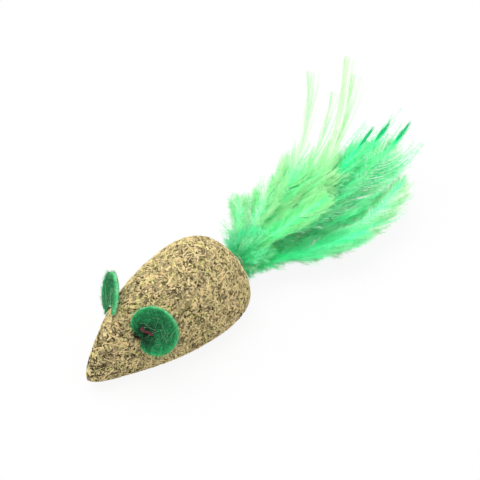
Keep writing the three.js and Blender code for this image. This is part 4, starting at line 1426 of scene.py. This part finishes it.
class CATNIP_OT_stage(bpy.types.Operator):
    """Set the pale floor, the soft light and the camera"""

    bl_idname = "catnip.stage"
    bl_label = "Stage"

    def execute(self, context):
        settings = context.scene.catnip_stage
        scene = context.scene
        scene.view_settings.view_transform = "Standard"
        self.floor(context)
        self.room(scene, settings.sky)
        lamp = bpy.data.lights.new("key", "AREA")
        lamp.shape = "DISK"
        lamp.size = KEY_WIDTH
        lamp.energy = settings.light
        self.aimed(scene, "key", lamp, KEY_PLACE, Vector(KEY_AIM) - Vector(KEY_PLACE))
        lens = bpy.data.cameras.new("camera")
        lens.lens = CAMERA_LENS
        lens.clip_start = CAMERA_NEAR
        scene.camera = self.aimed(scene, "camera", lens, CAMERA_PLACE, Vector(CAMERA_AIM))
        return {"FINISHED"}

    def floor(self, context):
        """Floor of pale paper, of which the camera sees one part as lit and the rest as an even glow."""
        bpy.ops.mesh.primitive_plane_add(size=FLOOR_SIZE, location=(0, 0, -FLOOR_DROP))
        floor = context.active_object
        floor.name = "floor"
        material, tree, shader = finish("floor", 1.0)
        shader.inputs["Base Color"].default_value = (FLOOR_GREY, FLOOR_GREY, FLOOR_GREY, 1)
        shader.inputs["Specular IOR Level"].default_value = 0.0
        glow = tree.nodes.new("ShaderNodeEmission")
        seen = tree.nodes.new("ShaderNodeLightPath")
        share = tree.nodes.new("ShaderNodeMath")
        share.operation = "MULTIPLY"
        share.inputs[1].default_value = FLOOR_GLOW
        tree.links.new(seen.outputs["Is Camera Ray"], share.inputs[0])
        self.mix(tree, share, (shader, glow), "Material Output")
        floor.data.materials.append(material)

    def room(self, scene, strength):
        """Even white light, which is plain white itself where the camera sees it, mirrored or through a
        piece.
        """
        world = bpy.data.worlds.new("room")
        scene.world = world
        world.use_nodes = True
        tree = world.node_tree
        background = tree.nodes["Background"]
        background.inputs["Color"].default_value = (1, 1, 1, 1)
        background.inputs["Strength"].default_value = strength
        white = tree.nodes.new("ShaderNodeBackground")
        white.inputs["Color"].default_value = (1, 1, 1, 1)
        path = tree.nodes.new("ShaderNodeLightPath")
        either = tree.nodes.new("ShaderNodeMath")
        either.operation = "MAXIMUM"
        any_way = tree.nodes.new("ShaderNodeMath")
        any_way.operation = "MAXIMUM"
        tree.links.new(path.outputs["Is Camera Ray"], either.inputs[0])
        tree.links.new(path.outputs["Is Glossy Ray"], either.inputs[1])
        tree.links.new(either.outputs[0], any_way.inputs[0])
        tree.links.new(path.outputs["Is Transmission Ray"], any_way.inputs[1])
        self.mix(tree, any_way, (background, white), "World Output")

    def mix(self, tree, share, shaders, output):
        """Mixes two shaders by a share and sends the result to the tree's output."""
        blend = tree.nodes.new("ShaderNodeMixShader")
        tree.links.new(share.outputs[0], blend.inputs["Fac"])
        for socket, shader in zip((blend.inputs[1], blend.inputs[2]), shaders):
            tree.links.new(shader.outputs[0], socket)
        tree.links.new(blend.outputs[0], tree.nodes[output].inputs["Surface"])

    def aimed(self, scene, name, data, place, direction):
        """Puts a lamp or a camera at a place, looking along a direction."""
        thing = bpy.data.objects.new(name, data)
        thing.location = place
        thing.rotation_mode = "QUATERNION"
        thing.rotation_quaternion = direction.to_track_quat("-Z", "Y")
        scene.collection.objects.link(thing)
        return thing


class CATNIP_PT_panel(bpy.types.Panel):
    """Settings and steps of the catnip mouse"""

    bl_idname = "CATNIP_PT_panel"
    bl_label = "Catnip mouse"
    bl_space_type = "VIEW_3D"
    bl_region_type = "UI"
    bl_category = "Catnip mouse"

    def draw(self, context):
        for settings, steps in PANEL_ROWS:
            box = self.layout.box()
            group = getattr(context.scene, settings)
            for key in group.__annotations__:
                box.prop(group, key)
            for step in steps:
                box.operator(step)


SETTINGS = {
    "catnip_herb": HerbSettings,
    "catnip_felt": FeltSettings,
    "catnip_feathers": FeatherSettings,
    "catnip_stage": StageSettings,
}
PANEL_ROWS = (
    ("catnip_herb", ("catnip.herb",)),
    ("catnip_felt", ("catnip.ears", "catnip.threads")),
    ("catnip_feathers", ("catnip.feathers",)),
    ("catnip_stage", ("catnip.stage",)),
)
STEPS = (CATNIP_OT_herb, CATNIP_OT_ears, CATNIP_OT_threads, CATNIP_OT_feathers, CATNIP_OT_stage)
CLASSES = (*SETTINGS.values(), *STEPS, CATNIP_PT_panel)


def register():
    """Adds the settings, the steps and the panel to Blender."""
    for kind in CLASSES:
        bpy.utils.register_class(kind)
    for key, kind in SETTINGS.items():
        setattr(bpy.types.Scene, key, bpy.props.PointerProperty(type=kind))


def unregister():
    """Takes out what register added, in the opposite order."""
    for key in SETTINGS:
        delattr(bpy.types.Scene, key)
    for kind in reversed(CLASSES):
        bpy.utils.unregister_class(kind)


def main():
    """Dresses the frame step by step."""
    register()
    bpy.ops.catnip.herb()
    bpy.ops.catnip.ears()
    bpy.ops.catnip.threads()
    bpy.ops.catnip.feathers()
    bpy.ops.catnip.stage()


if __name__ == "__main__":
    main()
